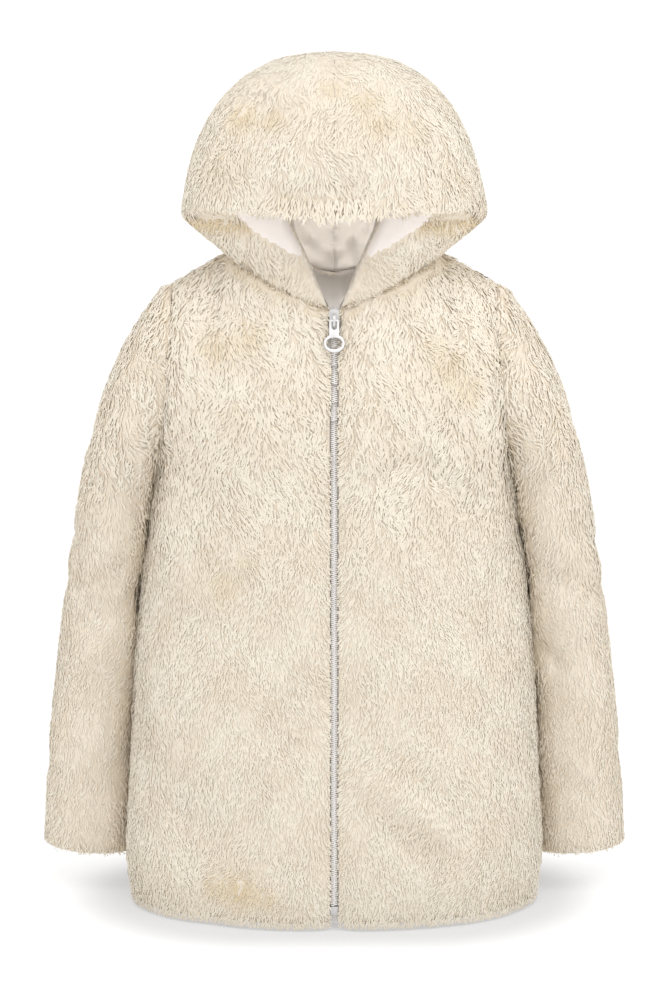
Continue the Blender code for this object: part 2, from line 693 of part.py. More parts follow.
def make_fronts():
    """The two fronts, which roll down to the zip between them, and the zip's tapes behind their edges."""
    for side, suffix in ((1, "left"), (-1, "right")):
        outer, inward = body_half(side, back=False)
        inner = outer + inward * WALL
        make_tape("zip_tape_" + suffix, side, inner, inward)
        outer[:, 0] += inward[:, 0] * ZIP_ROLL
        outer[:, 1] += inward[:, 1] * ZIP_ROLL_BESIDE
        part_seam(outer[:LOWER_ROWS + 1, -1], inner[:LOWER_ROWS + 1, -1], (0, -1, 0))
        part_seam(outer[LOWER_ROWS:, -1], inner[LOWER_ROWS:, -1], (-1, 0, 0))
        part_seam(outer[-1, NECK_COLUMNS:], inner[-1, NECK_COLUMNS:], (0, -1, 0))
        part_seam(outer[-1, :NECK_COLUMNS + 1], inner[-1, :NECK_COLUMNS + 1], (0, 0, -1))
        cells = grid_cells(*outer.shape[:2])
        add_wall("front_" + suffix, mirrored(outer, side), mirrored(inner, side), cells, "pile")


def make_back():
    """The back, from side seam to side seam, and the lining that shows below the back neck seam."""
    halves = []
    linings = []
    for side in (-1, 1):
        outer, inward = body_half(side, back=True)
        inner = outer + inward * WALL
        top = outer + inward * (WALL + SEAM_GAP)
        bottom = top + inward * LINING
        part_seam(outer[:LOWER_ROWS + 1, -1], inner[:LOWER_ROWS + 1, -1], (0, 1, 0))
        part_seam(outer[LOWER_ROWS:, -1], inner[LOWER_ROWS:, -1], (-1, 0, 0))
        part_seam(outer[-1, NECK_COLUMNS:], inner[-1, NECK_COLUMNS:], (0, 1, 0))
        part_seam(outer[-1, :NECK_COLUMNS + 1], inner[-1, :NECK_COLUMNS + 1], (0, 0, -1))
        first = LOWER_ROWS + UPPER_ROWS - LINING_ROWS
        top, bottom = top[first:, :NECK_COLUMNS + 1], bottom[first:, :NECK_COLUMNS + 1]
        part_seam(top[-1], bottom[-1], (0, 0, -1))
        halves.append((mirrored(outer, side), mirrored(inner, side)))
        linings.append((mirrored(top, side), mirrored(bottom, side)))
    for name, finish_name, (right, left) in (("back", "pile", halves), ("back_lining", "lining", linings)):
        sheets = [np.concatenate((a[:, :0:-1], b), axis=1) for a, b in zip(right, left)]
        add_wall(name, *sheets, grid_cells(*sheets[0].shape[:2]), finish_name)


def make_sleeves():
    """The sleeves, set into the armholes."""
    front = np.array(body_column(HALF_COLUMNS, back=False))
    rear = np.array(body_column(HALF_COLUMNS, back=True))
    armhole = np.concatenate((front[LOWER_ROWS:], rear[-2:LOWER_ROWS:-1]))
    for side, suffix in ((1, "left"), (-1, "right")):
        outer, inward = sleeve_grid(side, armhole)
        inner = outer + inward * WALL
        ring, inner_ring = (np.concatenate((points[0], points[0, :1])) for points in (outer, inner))
        part_seam(ring, inner_ring, (1, 0, 0))
        outer[0], inner[0] = ring[:-1], inner_ring[:-1]
        cells = grid_cells(*outer.shape[:2], ring=True)
        add_wall("sleeve_" + suffix, mirrored(outer, side), mirrored(inner, side), cells, "pile")


def is_opening(row, column):
    """Whether a cell of the hood's grid is in its opening, below the brim."""
    return row >= len(HOOD) and column < OPENING_COLUMN


def make_hood():
    """The hood's two panels, joined over the head, and their linings."""
    brim_row = len(HOOD)
    for side, suffix in ((1, "left"), (-1, "right")):
        outer, inward = hood_half(side)
        inner = outer + inward * WALL
        top = outer + inward * (WALL + SEAM_GAP)
        bottom = top + inward * LINING
        sheets = (("hood_", outer, inner, "pile"), ("hood_lining_", top, bottom, "lining"))
        for prefix, skin, back, finish_name in sheets:
            for edge in (skin, back):
                edge[:, -1, 0] = SEAM_GAP / 2
                edge[:brim_row + 1, 0, 0] = SEAM_GAP / 2
            part_seam(skin[-1, OPENING_COLUMN:], back[-1, OPENING_COLUMN:], (0, 0, 1))
            cells = grid_cells(*skin.shape[:2], skip=is_opening, pole=True)
            add_wall(prefix + suffix, mirrored(skin, side), mirrored(back, side), cells, finish_name)


def centre_line():
    """Points up the middle of the front's surface, from the hem, and the directions in through it."""
    outer, inward = body_half(1, back=False)
    level = (0, 1, 1)
    return outer[:, 0] * level, unit(inward[:, 0] * level)


def under_pile(height, depth):
    """The place in the front's middle at a height, this far below the pile's tips, and the way in."""
    points, inward = centre_line()
    place = np.array([np.interp(height, points[:, 2], points[:, axis]) for axis in range(3)])
    through = unit([np.interp(height, points[:, 2], inward[:, axis]) for axis in range(3)])
    return place + through * depth, through


def make_strip(name, heights, half_width, depth, thickness, finish_name):
    """A flat strip in the front's middle, at a depth under the pile's tips."""
    outer, inner = [], []
    for height in heights:
        middle, through = under_pile(height, depth)
        for x in (-half_width, half_width):
            edge = middle + np.array((x, 0, 0))
            outer.append(edge)
            inner.append(edge + through * thickness)
    cells = grid_cells(len(heights), 2)
    add_wall(name, np.array(outer), np.array(inner), cells, finish_name)


def make_chain():
    """The closed chain on the tapes, from the slider to the box at its foot."""
    points, _ = centre_line()
    chain_depth = WALL - CHAIN_THICKNESS
    box_top = points[0, 2] + BOX_ABOVE_HEM + BOX_HEIGHT
    foot, top = box_top + SEAM_GAP, SLIDER_TOP - SLIDER_LENGTH - SEAM_GAP
    between = [height for height in points[:, 2] if foot + CHAIN_ENDS < height < top - CHAIN_ENDS]
    heights = [foot, *between, top]
    make_strip("zip_chain", heights, CHAIN_HALF_WIDTH, chain_depth, CHAIN_THICKNESS, "zip_teeth")
    make_strip("zip_box", [box_top - BOX_HEIGHT, box_top], BOX_WIDTH / 2, chain_depth - BOX_PROUD,
               CHAIN_THICKNESS + BOX_PROUD, "zip_metal")


def add_prism(shape, outline, thickness):
    """Adds an upright plate to a bmesh: an outline in x and z, centred on y = 0."""
    caps = []
    for y in (-thickness / 2, thickness / 2):
        caps.append([shape.verts.new((x, y, z)) for x, z in outline])
    for cap in caps:
        shape.faces.new(cap)
    for i in range(len(outline)):
        j = (i + 1) % len(outline)
        shape.faces.new((caps[0][i], caps[0][j], caps[1][j], caps[1][i]))


def make_slider():
    """The slider: a wedge-shaped body with a loop on its face. Returns the pull's axis."""
    half_length = SLIDER_LENGTH / 2
    depth = WALL - SLIDER_THICKNESS - SLIDER_CLEARANCE
    centre, through = under_pile(SLIDER_TOP - half_length, depth + SLIDER_THICKNESS / 2)
    lean = math.atan2(through[2], through[1])
    shape = bmesh.new()
    right = [(half_width, half_length - down * SLIDER_LENGTH) for down, half_width in SLIDER_OUTLINE]
    left = [(-x, z) for x, z in reversed(right)]
    add_prism(shape, right + left, SLIDER_THICKNESS)
    body = add_object("zip_slider", shape, "zip_metal")
    body.location, body.rotation_euler = centre, (lean, 0, 0)
    bevel = body.modifiers.new("edges", "BEVEL")
    bevel.width, bevel.segments, bevel.limit_method = SLIDER_BEVEL, 1, "ANGLE"
    face_y = -SLIDER_THICKNESS / 2
    loop_z = LOOP_MIDDLE - centre[2]
    shape = bmesh.new()
    outline = []
    for shrink in (0.0, LOOP_BAR):
        arc = []
        for step in range(LOOP_STEPS + 1):
            angle = math.pi * step / LOOP_STEPS
            arc.append((math.cos(angle) * (LOOP_HALF_LENGTH - shrink),
                        face_y - math.sin(angle) * (LOOP_HEIGHT - shrink)))
        outline += arc if not shrink else arc[::-1]
    count = LOOP_STEPS + 1
    root_y = face_y + LOOP_ROOT
    outline = ([(outline[0][0], root_y)] + outline[:count] + [(outline[count - 1][0], root_y)]
               + [(outline[count][0], root_y)] + outline[count:] + [(outline[-1][0], root_y)])
    sides = (-LOOP_WIDTH / 2, LOOP_WIDTH / 2)
    rings = [[shape.verts.new((x, y, loop_z + z)) for z, y in outline] for x in sides]
    for ring in rings:
        shape.faces.new(ring)
    for i in range(len(outline)):
        j = (i + 1) % len(outline)
        shape.faces.new((rings[0][i], rings[0][j], rings[1][j], rings[1][i]))
    loop = add_object("zip_loop_cutter", shape, "zip_metal")
    loop.parent = body
    loop.hide_render = True
    loop.display_type = "WIRE"
    union = body.modifiers.new("loop", "BOOLEAN")
    union.operation, union.object = "UNION", loop
    axis = Vector((0, face_y - PULL_HINGE_OUT, loop_z))
    bpy.context.view_layer.update()
    return body.matrix_world @ axis


def arc(middle_x, middle_z, half_width, half_height, from_angle, to_angle, steps):
    """Points (x, z) on an ellipse, from one angle to another. Angle 0 is up, a right angle is towards +X."""
    points = []
    for step in range(steps + 1):
        angle = from_angle + (to_angle - from_angle) * step / steps
        points.append((middle_x + half_width * math.sin(angle), middle_z + half_height * math.cos(angle)))
    return points


def pull_outline():
    """The pull's outline: round the ring, then the eye's two upper corners. And its two holes."""
    turn = 2 * math.pi
    join = math.asin(EYE_HALF_WIDTH / RING_HALF_WIDTH)
    outline = arc(0, RING_MIDDLE, RING_HALF_WIDTH, RING_HALF_HEIGHT, join, turn - join, RING_STEPS)
    corner_x, corner_z = EYE_HALF_WIDTH - EYE_CORNER, EYE_TOP - EYE_CORNER
    outline += arc(-corner_x, corner_z, EYE_CORNER, EYE_CORNER, -turn / 4, 0, CORNER_STEPS)
    outline += arc(corner_x, corner_z, EYE_CORNER, EYE_CORNER, 0, turn / 4, CORNER_STEPS)
    ring_hole = arc(0, RING_MIDDLE, RING_HOLE_HALF_WIDTH, RING_HOLE_HALF_HEIGHT, 0, turn, RING_STEPS)[:-1]
    radius = EYE_HOLE_HALF_WIDTH
    eye_hole = arc(0, EYE_HOLE_FOOT + radius, radius, radius, turn / 4, 3 * turn / 4, 2 * CORNER_STEPS)
    eye_hole += [(-radius, EYE_HOLE_TOP), (radius, EYE_HOLE_TOP)]
    return outline, ring_hole, eye_hole


def make_pull(axis):
    """The pull, hung from the slider's loop and lying on the pile, with its origin on its own axis."""
    foot_z = axis[2] + RING_MIDDLE - RING_HALF_HEIGHT
    foot, _ = under_pile(foot_z, PULL_REST_DEPTH)
    foot_y = foot[1] - PULL_THICKNESS / 2
    lean = math.atan2(axis[1] - foot_y, axis[2] - foot_z)
    loops = pull_outline()
    flat = [point for loop in loops for point in loop]
    triangles = tessellate_polygon([[Vector((x, z, 0)) for x, z in loop] for loop in loops])
    shape = bmesh.new()
    faces = [[shape.verts.new((x, y, z)) for x, z in flat] for y in (-PULL_THICKNESS / 2, PULL_THICKNESS / 2)]
    for triangle in triangles:
        shape.faces.new([faces[0][i] for i in triangle])
        shape.faces.new([faces[1][i] for i in reversed(triangle)])
    start = 0
    for loop in loops:
        for i in range(len(loop)):
            a, b = start + i, start + (i + 1) % len(loop)
            shape.faces.new((faces[0][a], faces[0][b], faces[1][b], faces[1][a]))
        start += len(loop)
    pull = add_object("zip_pull", shape, "zip_metal")
    pull.location, pull.rotation_euler = axis, (-lean, 0, 0)


def clear_scene():
    """Removes the objects that Blender starts with."""
    for item in list(bpy.data.objects):
        bpy.data.objects.remove(item, do_unlink=True)


def main():
    clear_scene()
    make_fronts()
    make_back()
    make_sleeves()
    make_hood()
    make_chain()
    make_pull(make_slider())


main()
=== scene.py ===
import json
import math

import bmesh
import bpy
import numpy as np
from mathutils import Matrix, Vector
from mathutils.bvhtree import BVHTree
from mathutils.kdtree import KDTree

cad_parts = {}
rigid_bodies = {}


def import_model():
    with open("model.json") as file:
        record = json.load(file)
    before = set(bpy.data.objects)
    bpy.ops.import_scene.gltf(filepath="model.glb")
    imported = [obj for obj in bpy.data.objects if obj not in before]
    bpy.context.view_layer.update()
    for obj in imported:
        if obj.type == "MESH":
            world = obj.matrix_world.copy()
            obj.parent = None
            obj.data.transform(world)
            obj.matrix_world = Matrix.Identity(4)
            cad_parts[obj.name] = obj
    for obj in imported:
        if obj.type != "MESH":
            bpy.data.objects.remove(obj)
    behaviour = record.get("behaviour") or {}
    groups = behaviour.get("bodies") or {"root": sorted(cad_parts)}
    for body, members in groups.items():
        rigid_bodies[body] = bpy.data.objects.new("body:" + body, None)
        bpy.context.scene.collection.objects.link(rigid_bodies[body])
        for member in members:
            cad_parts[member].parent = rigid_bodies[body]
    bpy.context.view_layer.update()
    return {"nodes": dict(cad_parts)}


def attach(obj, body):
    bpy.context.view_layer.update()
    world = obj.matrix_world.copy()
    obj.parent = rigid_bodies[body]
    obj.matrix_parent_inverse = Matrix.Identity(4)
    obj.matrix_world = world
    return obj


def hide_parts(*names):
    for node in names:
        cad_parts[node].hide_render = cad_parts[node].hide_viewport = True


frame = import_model()
rng = np.random.default_rng(7)
print("frame loaded:", len(frame["nodes"]), "nodes")


# small helpers

def unit(v):
    return v / np.maximum(np.linalg.norm(v, axis=-1, keepdims=True), 1e-12)


def smoothStep(low, high, x):
    t = np.clip((x - low) / (high - low), 0, 1)
    return t * t * (3 - 2 * t)


def waves(points, size, seed):
    # soft noise from -1 to 1: a few sine waves in random directions, about size metres long
    r = np.random.default_rng(seed)
    total = np.zeros(len(points))
    for _ in range(7):
        k = unit(r.normal(size=3)) * 2 * math.pi / size * r.uniform(0.6, 1.5)
        total += np.sin(points @ k + r.uniform(0, 2 * math.pi))
    return total / 2.6


def addObject(name, mesh, materials, body="garment"):
    item = bpy.data.objects.new(name, mesh)
    bpy.context.scene.collection.objects.link(item)
    for material in materials:
        item.data.materials.append(material)
    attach(item, body)
    return item


def fromArrays(name, verts, tris, uvs=(), finish=None, normals=None):
    # a smooth shaded triangle mesh from numpy arrays; uvs holds pairs of a layer's name and its points
    mesh = bpy.data.meshes.new(name)
    mesh.vertices.add(len(verts))
    mesh.vertices.foreach_set("co", verts.astype(np.float32).ravel())
    mesh.loops.add(3 * len(tris))
    mesh.loops.foreach_set("vertex_index", tris.astype(np.int32).ravel())
    mesh.polygons.add(len(tris))
    mesh.polygons.foreach_set("loop_start", np.arange(0, 3 * len(tris), 3, dtype=np.int32))
    mesh.polygons.foreach_set("use_smooth", np.ones(len(tris), bool))
    if finish is not None:
        mesh.polygons.foreach_set("material_index", finish.astype(np.int32))
    for label, uv in uvs:
        layer = mesh.uv_layers.new(name=label)
        layer.uv.foreach_set("vector", uv[tris.ravel()].astype(np.float32).ravel())
    mesh.update(calc_edges=True)
    mesh.validate()
    if normals is not None:
        mesh.normals_split_custom_set_from_vertices(normals)
    return mesh


# shader groups

def newGroup(name, inputs, outputs):
    group = bpy.data.node_groups.new(name, "ShaderNodeTree")
    for label, kind, value in inputs:
        socket = group.interface.new_socket(label, in_out="INPUT", socket_type="NodeSocket" + kind)
        socket.default_value = value
    for label, kind in outputs:
        group.interface.new_socket(label, in_out="OUTPUT", socket_type="NodeSocket" + kind)
    return group, group.nodes.new("NodeGroupInput"), group.nodes.new("NodeGroupOutput")


def addNode(tree, kind, link=None, **settings):
    # link maps an input's name or number to another node's output, or to a plain value
    node = tree.nodes.new("ShaderNode" + kind)
    for key, value in settings.items():
        setattr(node, key, value)
    for key, value in (link or {}).items():
        if isinstance(value, bpy.types.NodeSocket):
            tree.links.new(value, node.inputs[key])
        else:
            node.inputs[key].default_value = value
    return node


def math2(tree, operation, a, b, clamp=False):
    return addNode(tree, "Math", {0: a, 1: b}, operation=operation, use_clamp=clamp).outputs[0]


def mixColour(tree, factor, a, b, blend="MIX"):
    node = addNode(tree, "Mix", {0: factor, 6: a, 7: b}, data_type="RGBA", blend_type=blend)
    return node.outputs[2]


def makeNapTone():
    # colour of pile along each lock, warmer and darker towards the root as painted shade deep in the pile, a little
    # different from lock to lock, with tan tufts, painted tan shade at the neck seam and under the brim, and soft
    # patches
    group, given, out = newGroup("napTone", (
        ("Root", "Color", (0.9, 0.8, 0.7, 1)), ("Shaft", "Color", (0.9, 0.8, 0.7, 1)),
        ("Tip", "Color", (1, 1, 1, 1)), ("Lock Variation", "Float", 0.1),
        ("Tuft Colour", "Color", (0.8, 0.7, 0.5, 1)),
        ("Patch Colour", "Color", (0.8, 0.7, 0.5, 1))), (("Color", "Color"),))
    nap = addNode(group, "SeparateXYZ", {0: addNode(group, "UVMap", uv_map="pile").outputs[0]})
    tint = addNode(group, "SeparateXYZ", {0: addNode(group, "UVMap", uv_map="tint").outputs[0]})
    lower = addNode(group, "MapRange", {0: nap.outputs[1], 1: 0.0, 2: 0.45})
    upper = addNode(group, "MapRange", {0: nap.outputs[1], 1: 0.4, 2: 1.0})
    colour = mixColour(group, lower.outputs[0], given.outputs["Root"], given.outputs["Shaft"])
    colour = mixColour(group, upper.outputs[0], colour, given.outputs["Tip"])
    # the tan share lays on the tuft colour: the whorls' tan and painted shade at the neck seam and under the brim's
    # corners
    colour = mixColour(group, tint.outputs[0], colour, given.outputs["Tuft Colour"], "MULTIPLY")
    colour = mixColour(group, tint.outputs[1], colour, given.outputs["Patch Colour"], "MULTIPLY")
    swing = math2(group, "SUBTRACT", nap.outputs[0], 0.5)
    swing = math2(group, "MULTIPLY", swing, given.outputs["Lock Variation"])
    shade = math2(group, "ADD", swing, 1.0)
    grey = addNode(group, "CombineColor", {0: shade, 1: shade, 2: shade})
    colour = mixColour(group, 1.0, colour, grey.outputs[0], "MULTIPLY")
    group.links.new(colour, out.inputs["Color"])
    return group


def makeWeave():
    # fine over-and-under threads, in the object's own coordinates
    group, given, out = newGroup("threads", (
        ("Threads per Metre", "Float", 2000.0), ("Roughening", "Float", 0.3)),
        (("Height", "Float"), ("Mask", "Float")))
    place = addNode(group, "TexCoord")
    wander = addNode(group, "TexNoise", {"Vector": place.outputs["Object"], "Scale": 60.0, "Detail": 3.0})
    size = math2(group, "DIVIDE", given.outputs["Threads per Metre"], 20.0)  # a wave of scale 1 has 20 bands
    across, down = (addNode(group, "TexWave", {"Vector": place.outputs["Object"], "Scale": size, "Distortion": 1.0},
                            bands_direction=way).outputs["Fac"] for way in "XZ")
    both = math2(group, "MULTIPLY", across, down)
    rough = math2(group, "MULTIPLY", wander.outputs[0], given.outputs["Roughening"])
    group.links.new(math2(group, "ADD", both, rough), out.inputs["Height"])
    group.links.new(both, out.inputs["Mask"])
    return group


napTone = makeNapTone()
threads = makeWeave()


def newMaterial(name, colour, roughness, metallic=0.0, **more):
    material = bpy.data.materials.new(name)
    material.use_nodes = True
    shader = material.node_tree.nodes["Principled BSDF"]
    shader.inputs["Base Color"].default_value = (*colour, 1)
    shader.inputs["Roughness"].default_value = roughness
    shader.inputs["Metallic"].default_value = metallic
    for key, value in more.items():
        shader.inputs[key].default_value = value
    return material, material.node_tree, shader


def placeGroup(tree, group, **values):
    node = tree.nodes.new("ShaderNodeGroup")
    node.node_tree = group
    for key, value in values.items():
        node.inputs[key.replace("_", " ")].default_value = value
    return node


pileFinish = {
    # the roots are warmer and darker than the tips, painted shade deep in the pile
    "root": (0.83, 0.71, 0.54, 1),
    "shaft": (0.835, 0.76, 0.64, 1),
    "tip": (0.84, 0.775, 0.665, 1),
    "tuftAndShade": (0.88, 0.79, 0.63, 1),
    "patch": (0.965, 0.95, 0.92, 1),
    "lockVariation": 0.08,
}


def pileMaterial():
    material, tree, shader = newMaterial("creamPile", (0.86, 0.8, 0.7), 0.9, **{
        "Sheen Weight": 0.15, "Sheen Roughness": 0.5, "Specular IOR Level": 0.2})
    tone = placeGroup(tree, napTone, Root=pileFinish["root"], Shaft=pileFinish["shaft"],
                      Tip=pileFinish["tip"], Lock_Variation=pileFinish["lockVariation"],
                      Tuft_Colour=pileFinish["tuftAndShade"], Patch_Colour=pileFinish["patch"])
    tree.links.new(tone.outputs["Color"], shader.inputs["Base Color"])
    return material


def groundMaterial():
    # the ground cloth that the pile stands on, coloured darker and warmer as painted shade between the locks
    material, tree, shader = newMaterial("pileGround", (0.62, 0.5, 0.36), 1.0, **{"Specular IOR Level": 0.1})
    place = addNode(tree, "TexCoord")
    fibre = addNode(tree, "TexNoise", {"Vector": place.outputs["Object"], "Scale": 420.0, "Detail": 4.0})
    ramp = addNode(tree, "MapRange", {0: fibre.outputs[0], 1: 0.3, 2: 0.7})
    colour = mixColour(tree, ramp.outputs[0], (0.78, 0.685, 0.555, 1), (0.82, 0.735, 0.615, 1))
    tree.links.new(colour, shader.inputs["Base Color"])
    bump = addNode(tree, "Bump", {"Height": fibre.outputs[0], "Strength": 0.6, "Distance": 0.001})
    tree.links.new(bump.outputs[0], shader.inputs["Normal"])
    return material


satinFinish = {
    "threads": 3600.0, "roughening": 0.8, "relief": 0.12, "depth": 0.0003,
    "under": (0.87, 0.825, 0.775, 1), "over": (0.91, 0.87, 0.83, 1),
}
knitFinish = {
    # the plain back of the pile cloth, inside the body and the sleeves
    "threads": 1300.0, "roughening": 0.5, "relief": 0.4, "depth": 0.0004,
    "under": (0.78, 0.71, 0.61, 1), "over": (0.88, 0.83, 0.75, 1),
}
facingFinish = {
    "threads": 3000.0, "roughening": 1.0, "relief": 0.15, "depth": 0.0003,
    "under": (0.92, 0.855, 0.81, 1), "over": (0.94, 0.875, 0.83, 1),
}
tapeFinish = {
    "threads": 1700.0, "roughening": 0.3, "relief": 0.5, "depth": 0.0004,
    "under": (0.90, 0.87, 0.85, 1), "over": (0.95, 0.93, 0.91, 1),
}


def wovenMaterial(name, colour, roughness, finish, **more):
    # threads in two near colours, the upper ones raised a little
    material, tree, shader = newMaterial(name, colour, roughness, **more)
    weave = placeGroup(tree, threads, Threads_per_Metre=finish["threads"], Roughening=finish["roughening"])
    cloth = mixColour(tree, weave.outputs["Mask"], finish["under"], finish["over"])
    tree.links.new(cloth, shader.inputs["Base Color"])
    bump = addNode(tree, "Bump", {
        "Height": weave.outputs["Height"], "Strength": finish["relief"], "Distance": finish["depth"]})
    tree.links.new(bump.outputs[0], shader.inputs["Normal"])
    return material


def teethMaterial():
    material, tree, shader = newMaterial("coilTeeth", (0.88, 0.83, 0.80), 0.45)
    place = addNode(tree, "TexCoord")
    dust = addNode(tree, "TexNoise", {"Vector": place.outputs["Object"], "Scale": 300.0, "Detail": 3.0})
    colour = mixColour(tree, dust.outputs[0], (0.90, 0.87, 0.85, 1), (0.95, 0.93, 0.91, 1))
    tree.links.new(colour, shader.inputs["Base Color"])
    rough = addNode(tree, "MapRange", {0: dust.outputs[0], 3: 0.38, 4: 0.58})
    tree.links.new(rough.outputs[0], shader.inputs["Roughness"])
    return material


def metalMaterial():
    # pale lacquer on die-cast metal, lighter on its edges and darker in its hollows as painted shade
    material, tree, shader = newMaterial("paleMetal", (0.7, 0.7, 0.7), 0.32, 0.45)
    place = addNode(tree, "TexCoord")
    grain = addNode(tree, "TexNoise", {"Vector": place.outputs["Object"], "Scale": 900.0, "Detail": 3.0})
    curvature = addNode(tree, "NewGeometry")
    edge = addNode(tree, "MapRange", {0: curvature.outputs["Pointiness"], 1: 0.40, 2: 0.52})
    colour = mixColour(tree, edge.outputs[0], (0.34, 0.33, 0.33, 1), (0.70, 0.69, 0.69, 1))
    tree.links.new(colour, shader.inputs["Base Color"])
    rough = addNode(tree, "MapRange", {0: grain.outputs[0], 3: 0.26, 4: 0.42})
    tree.links.new(rough.outputs[0], shader.inputs["Roughness"])
    return material


creamPile = pileMaterial()
pileGround = groundMaterial()
satin = wovenMaterial("satinLining", (0.83, 0.77, 0.71), 0.42, satinFinish, **{
    "Sheen Weight": 0.3, "Sheen Roughness": 0.4, "Anisotropic": 0.3})
knitBack = wovenMaterial("knitBack", (0.84, 0.78, 0.69), 0.95, knitFinish, **{"Specular IOR Level": 0.15})
smoothFacing = wovenMaterial("smoothFacing", (0.87, 0.80, 0.74), 0.7, facingFinish, **{
    "Sheen Weight": 0.2, "Sheen Roughness": 0.4})
zipTape = wovenMaterial("zipTape", (0.74, 0.66, 0.61), 0.85, tapeFinish)
coilTeeth = teethMaterial()
paleMetal = metalMaterial()
print("materials made")


# what the photograph shows of the pile's lie

pile = {
    "clothDepth": 0.0004,  # from the panel's own surface in to the ground cloth
    "rootDepth": 0.0006,
    "length": 0.0086, "lengthRange": (0.72, 1.25),
    "width": 0.00115, "widthRange": (0.75, 1.3),
    "rise": 0.0008, "riseRange": (0.7, 1.5),
    "tipLift": (0.15, 0.75),  # shares of the rise
    "bend": 0.0014, "bendTurn": 0.75,  # sideways, and over how much of a half wave
    "spread": 0.20,  # of the way the locks lie, in radians
    "roundness": 0.42,  # of a lock's shading, from side to side
    "tipShine": 0.3,  # how far its shading leans over at the tip
    "ridge": 0.18,  # of its width
    "clumpEvery": 7,  # locks drawn together at their tips
    "clumpPull": 0.22, "pullCurve": 1.5,
    "follow": 0.004,  # a lock's tip follows the cloth in or out by up to this
    "shortStations": ((0.60, 0.96, 1.0),),  # shares of the length, the rise and the width
    "longStations": ((0.34, 0.80, 0.85), (0.72, 1.02, 0.9)),
    "longShare": 0.06,  # of the locks have two stations
    "thickPatch": 0.18, "thickSize": 0.030,  # the pile stands higher and lower in patches of this size
    "tintSize": 0.05,
    "overhang": 0.0024, "overRange": (0.3, 1.5),  # past a free edge
    "cuffOverhang": 0.3,  # a share of it at the cuffs
    "brimOverhang": 1.2, "brimFrom": 0.06, "brimWhole": 0.02,  # so much more of it towards the brim's middle
    "shortest": 0.003,
    "tanShorter": 0.2,  # tan locks are shorter by this share
    "topFlatter": 0.45, "topFrom": 0.35, "topWhole": 0.9,  # on the hood's top the pile lies flat
    "besideWidth": 0.0100,  # where sleeve and body touch, their pile stands up and meets
    "besideLap": 0.0030,
    "armholeLap": 0.0010,  # the same along the armhole's seam, above the armpit
    "armpit": -0.14,
    "lowest": -0.5152,  # where the hem's tips meet the floor
    "hemWave": 0.0008, "hemWaves": 900,
    "hemFrom": -0.5095, "hemLift": 0.003,  # the ground cloth ends this far above the hem's tips
    "slotHalf": 0.0021,  # the pile leaves this much of the zip bare on each side of the middle
}
coarsePile = {
    # the large curly locks of the hood, chest and shoulders: how they differ from the fine ones below
    "from": -0.250, "to": -0.120,  # fine below the first height and coarse above the second
    "wander": 0.020, "wanderSize": 0.09,
    "hoodShare": 0.4,
    "thinner": 0.25, "higher": 0.30, "longer": 0.20, "wider": 0.35, "clumped": 0.35, "bent": 0.7,
    "longShare": 0.54,  # so many more of them have two stations
}
lockCounts = {
    "front_left": 33700, "front_right": 33700, "back": 35400, "sleeve_left": 22000, "sleeve_right": 22000,
    "hood_left": 20500, "hood_right": 20500,
}
brimBand = {
    # the band turned back at the brim's middle
    "fromX": -0.044, "toX": 0.030, "ends": 0.006, "top": 0.0600, "edge": 0.0012, "foot": 0.040,
    "front": -0.06, "proud": 0.0014,
}
brimShade = {
    # painted shade: the locks under the corners of the brim are tinted tan where the brim shades them
    "fromX": 0.056, "soft": 0.012, "height": 0.0345, "width": 0.0050, "front": -0.02,
}
brimFringe = {"width": 0.020, "half": 0.045, "foot": 0.040, "longer": 0.15}
underBrim = {"facing": -0.62, "front": -0.02, "foot": 0.030}  # no pile where the brim's edge faces down
neckSeam = {
    # the hood's pile laps over the front's at their seam, and the front's locks there are tinted tan as painted shade
    "width": 0.0040, "dip": 0.0016, "lap": 0.0016, "upward": 1.2,
    "foot": -0.032, "top": 0.010, "front": -0.010, "fromX": 0.008, "toX": 0.090,
}
freeEdge = {
    # where a panel's border is free: below the hem's or cuff's height, beside the zip, or round the face
    "hem": -0.508, "cuff": -0.468, "zip": 0.0085,
    "faceFront": -0.040, "faceTop": 0.052, "chinHalf": 0.004, "chinTop": 0.030, "neckHalf": 0.040,
    "openingTop": 0.0405, "openingHalf": 0.046, "openingFoot": -0.025,
}
nap = {
    # which way the pile lies: down, on the hood away from its crown, outwards at its cheeks, inwards at the zip
    "crown": (0.0, 0.012, 0.175), "crownFrom": 0.02, "crownTo": 0.13, "crownDown": 1.1,
    "cheek": 0.5, "cheekTop": 0.045, "cheekWhole": 0.03, "cheekFrom": -0.01, "cheekTo": -0.04,
    "zip": 0.45, "zipFrom": 0.020, "zipTo": 0.006,
    "bandCalm": 0.8,
    "whorlRise": 0.35, "whorlReach": 1.25, "tanReach": 0.8,  # shares of a whorl's radius
}
napTurns = (
    # size of the patches, turn of fine locks in radians, how much more for coarse ones, seed
    (0.110, 0.22, 0.0, 3),
    (0.036, 0.22, 0.20, 4),
    (0.015, 0.12, 0.26, 5),
)
creaseFade = {
    "from": 0.25, "whole": 0.60,  # of how much the cloth faces the side that a crease is seen from
    "ends": 0.45,
    "zipFrom": 0.008, "zipTo": 0.022,  # beside the zip there are none
}
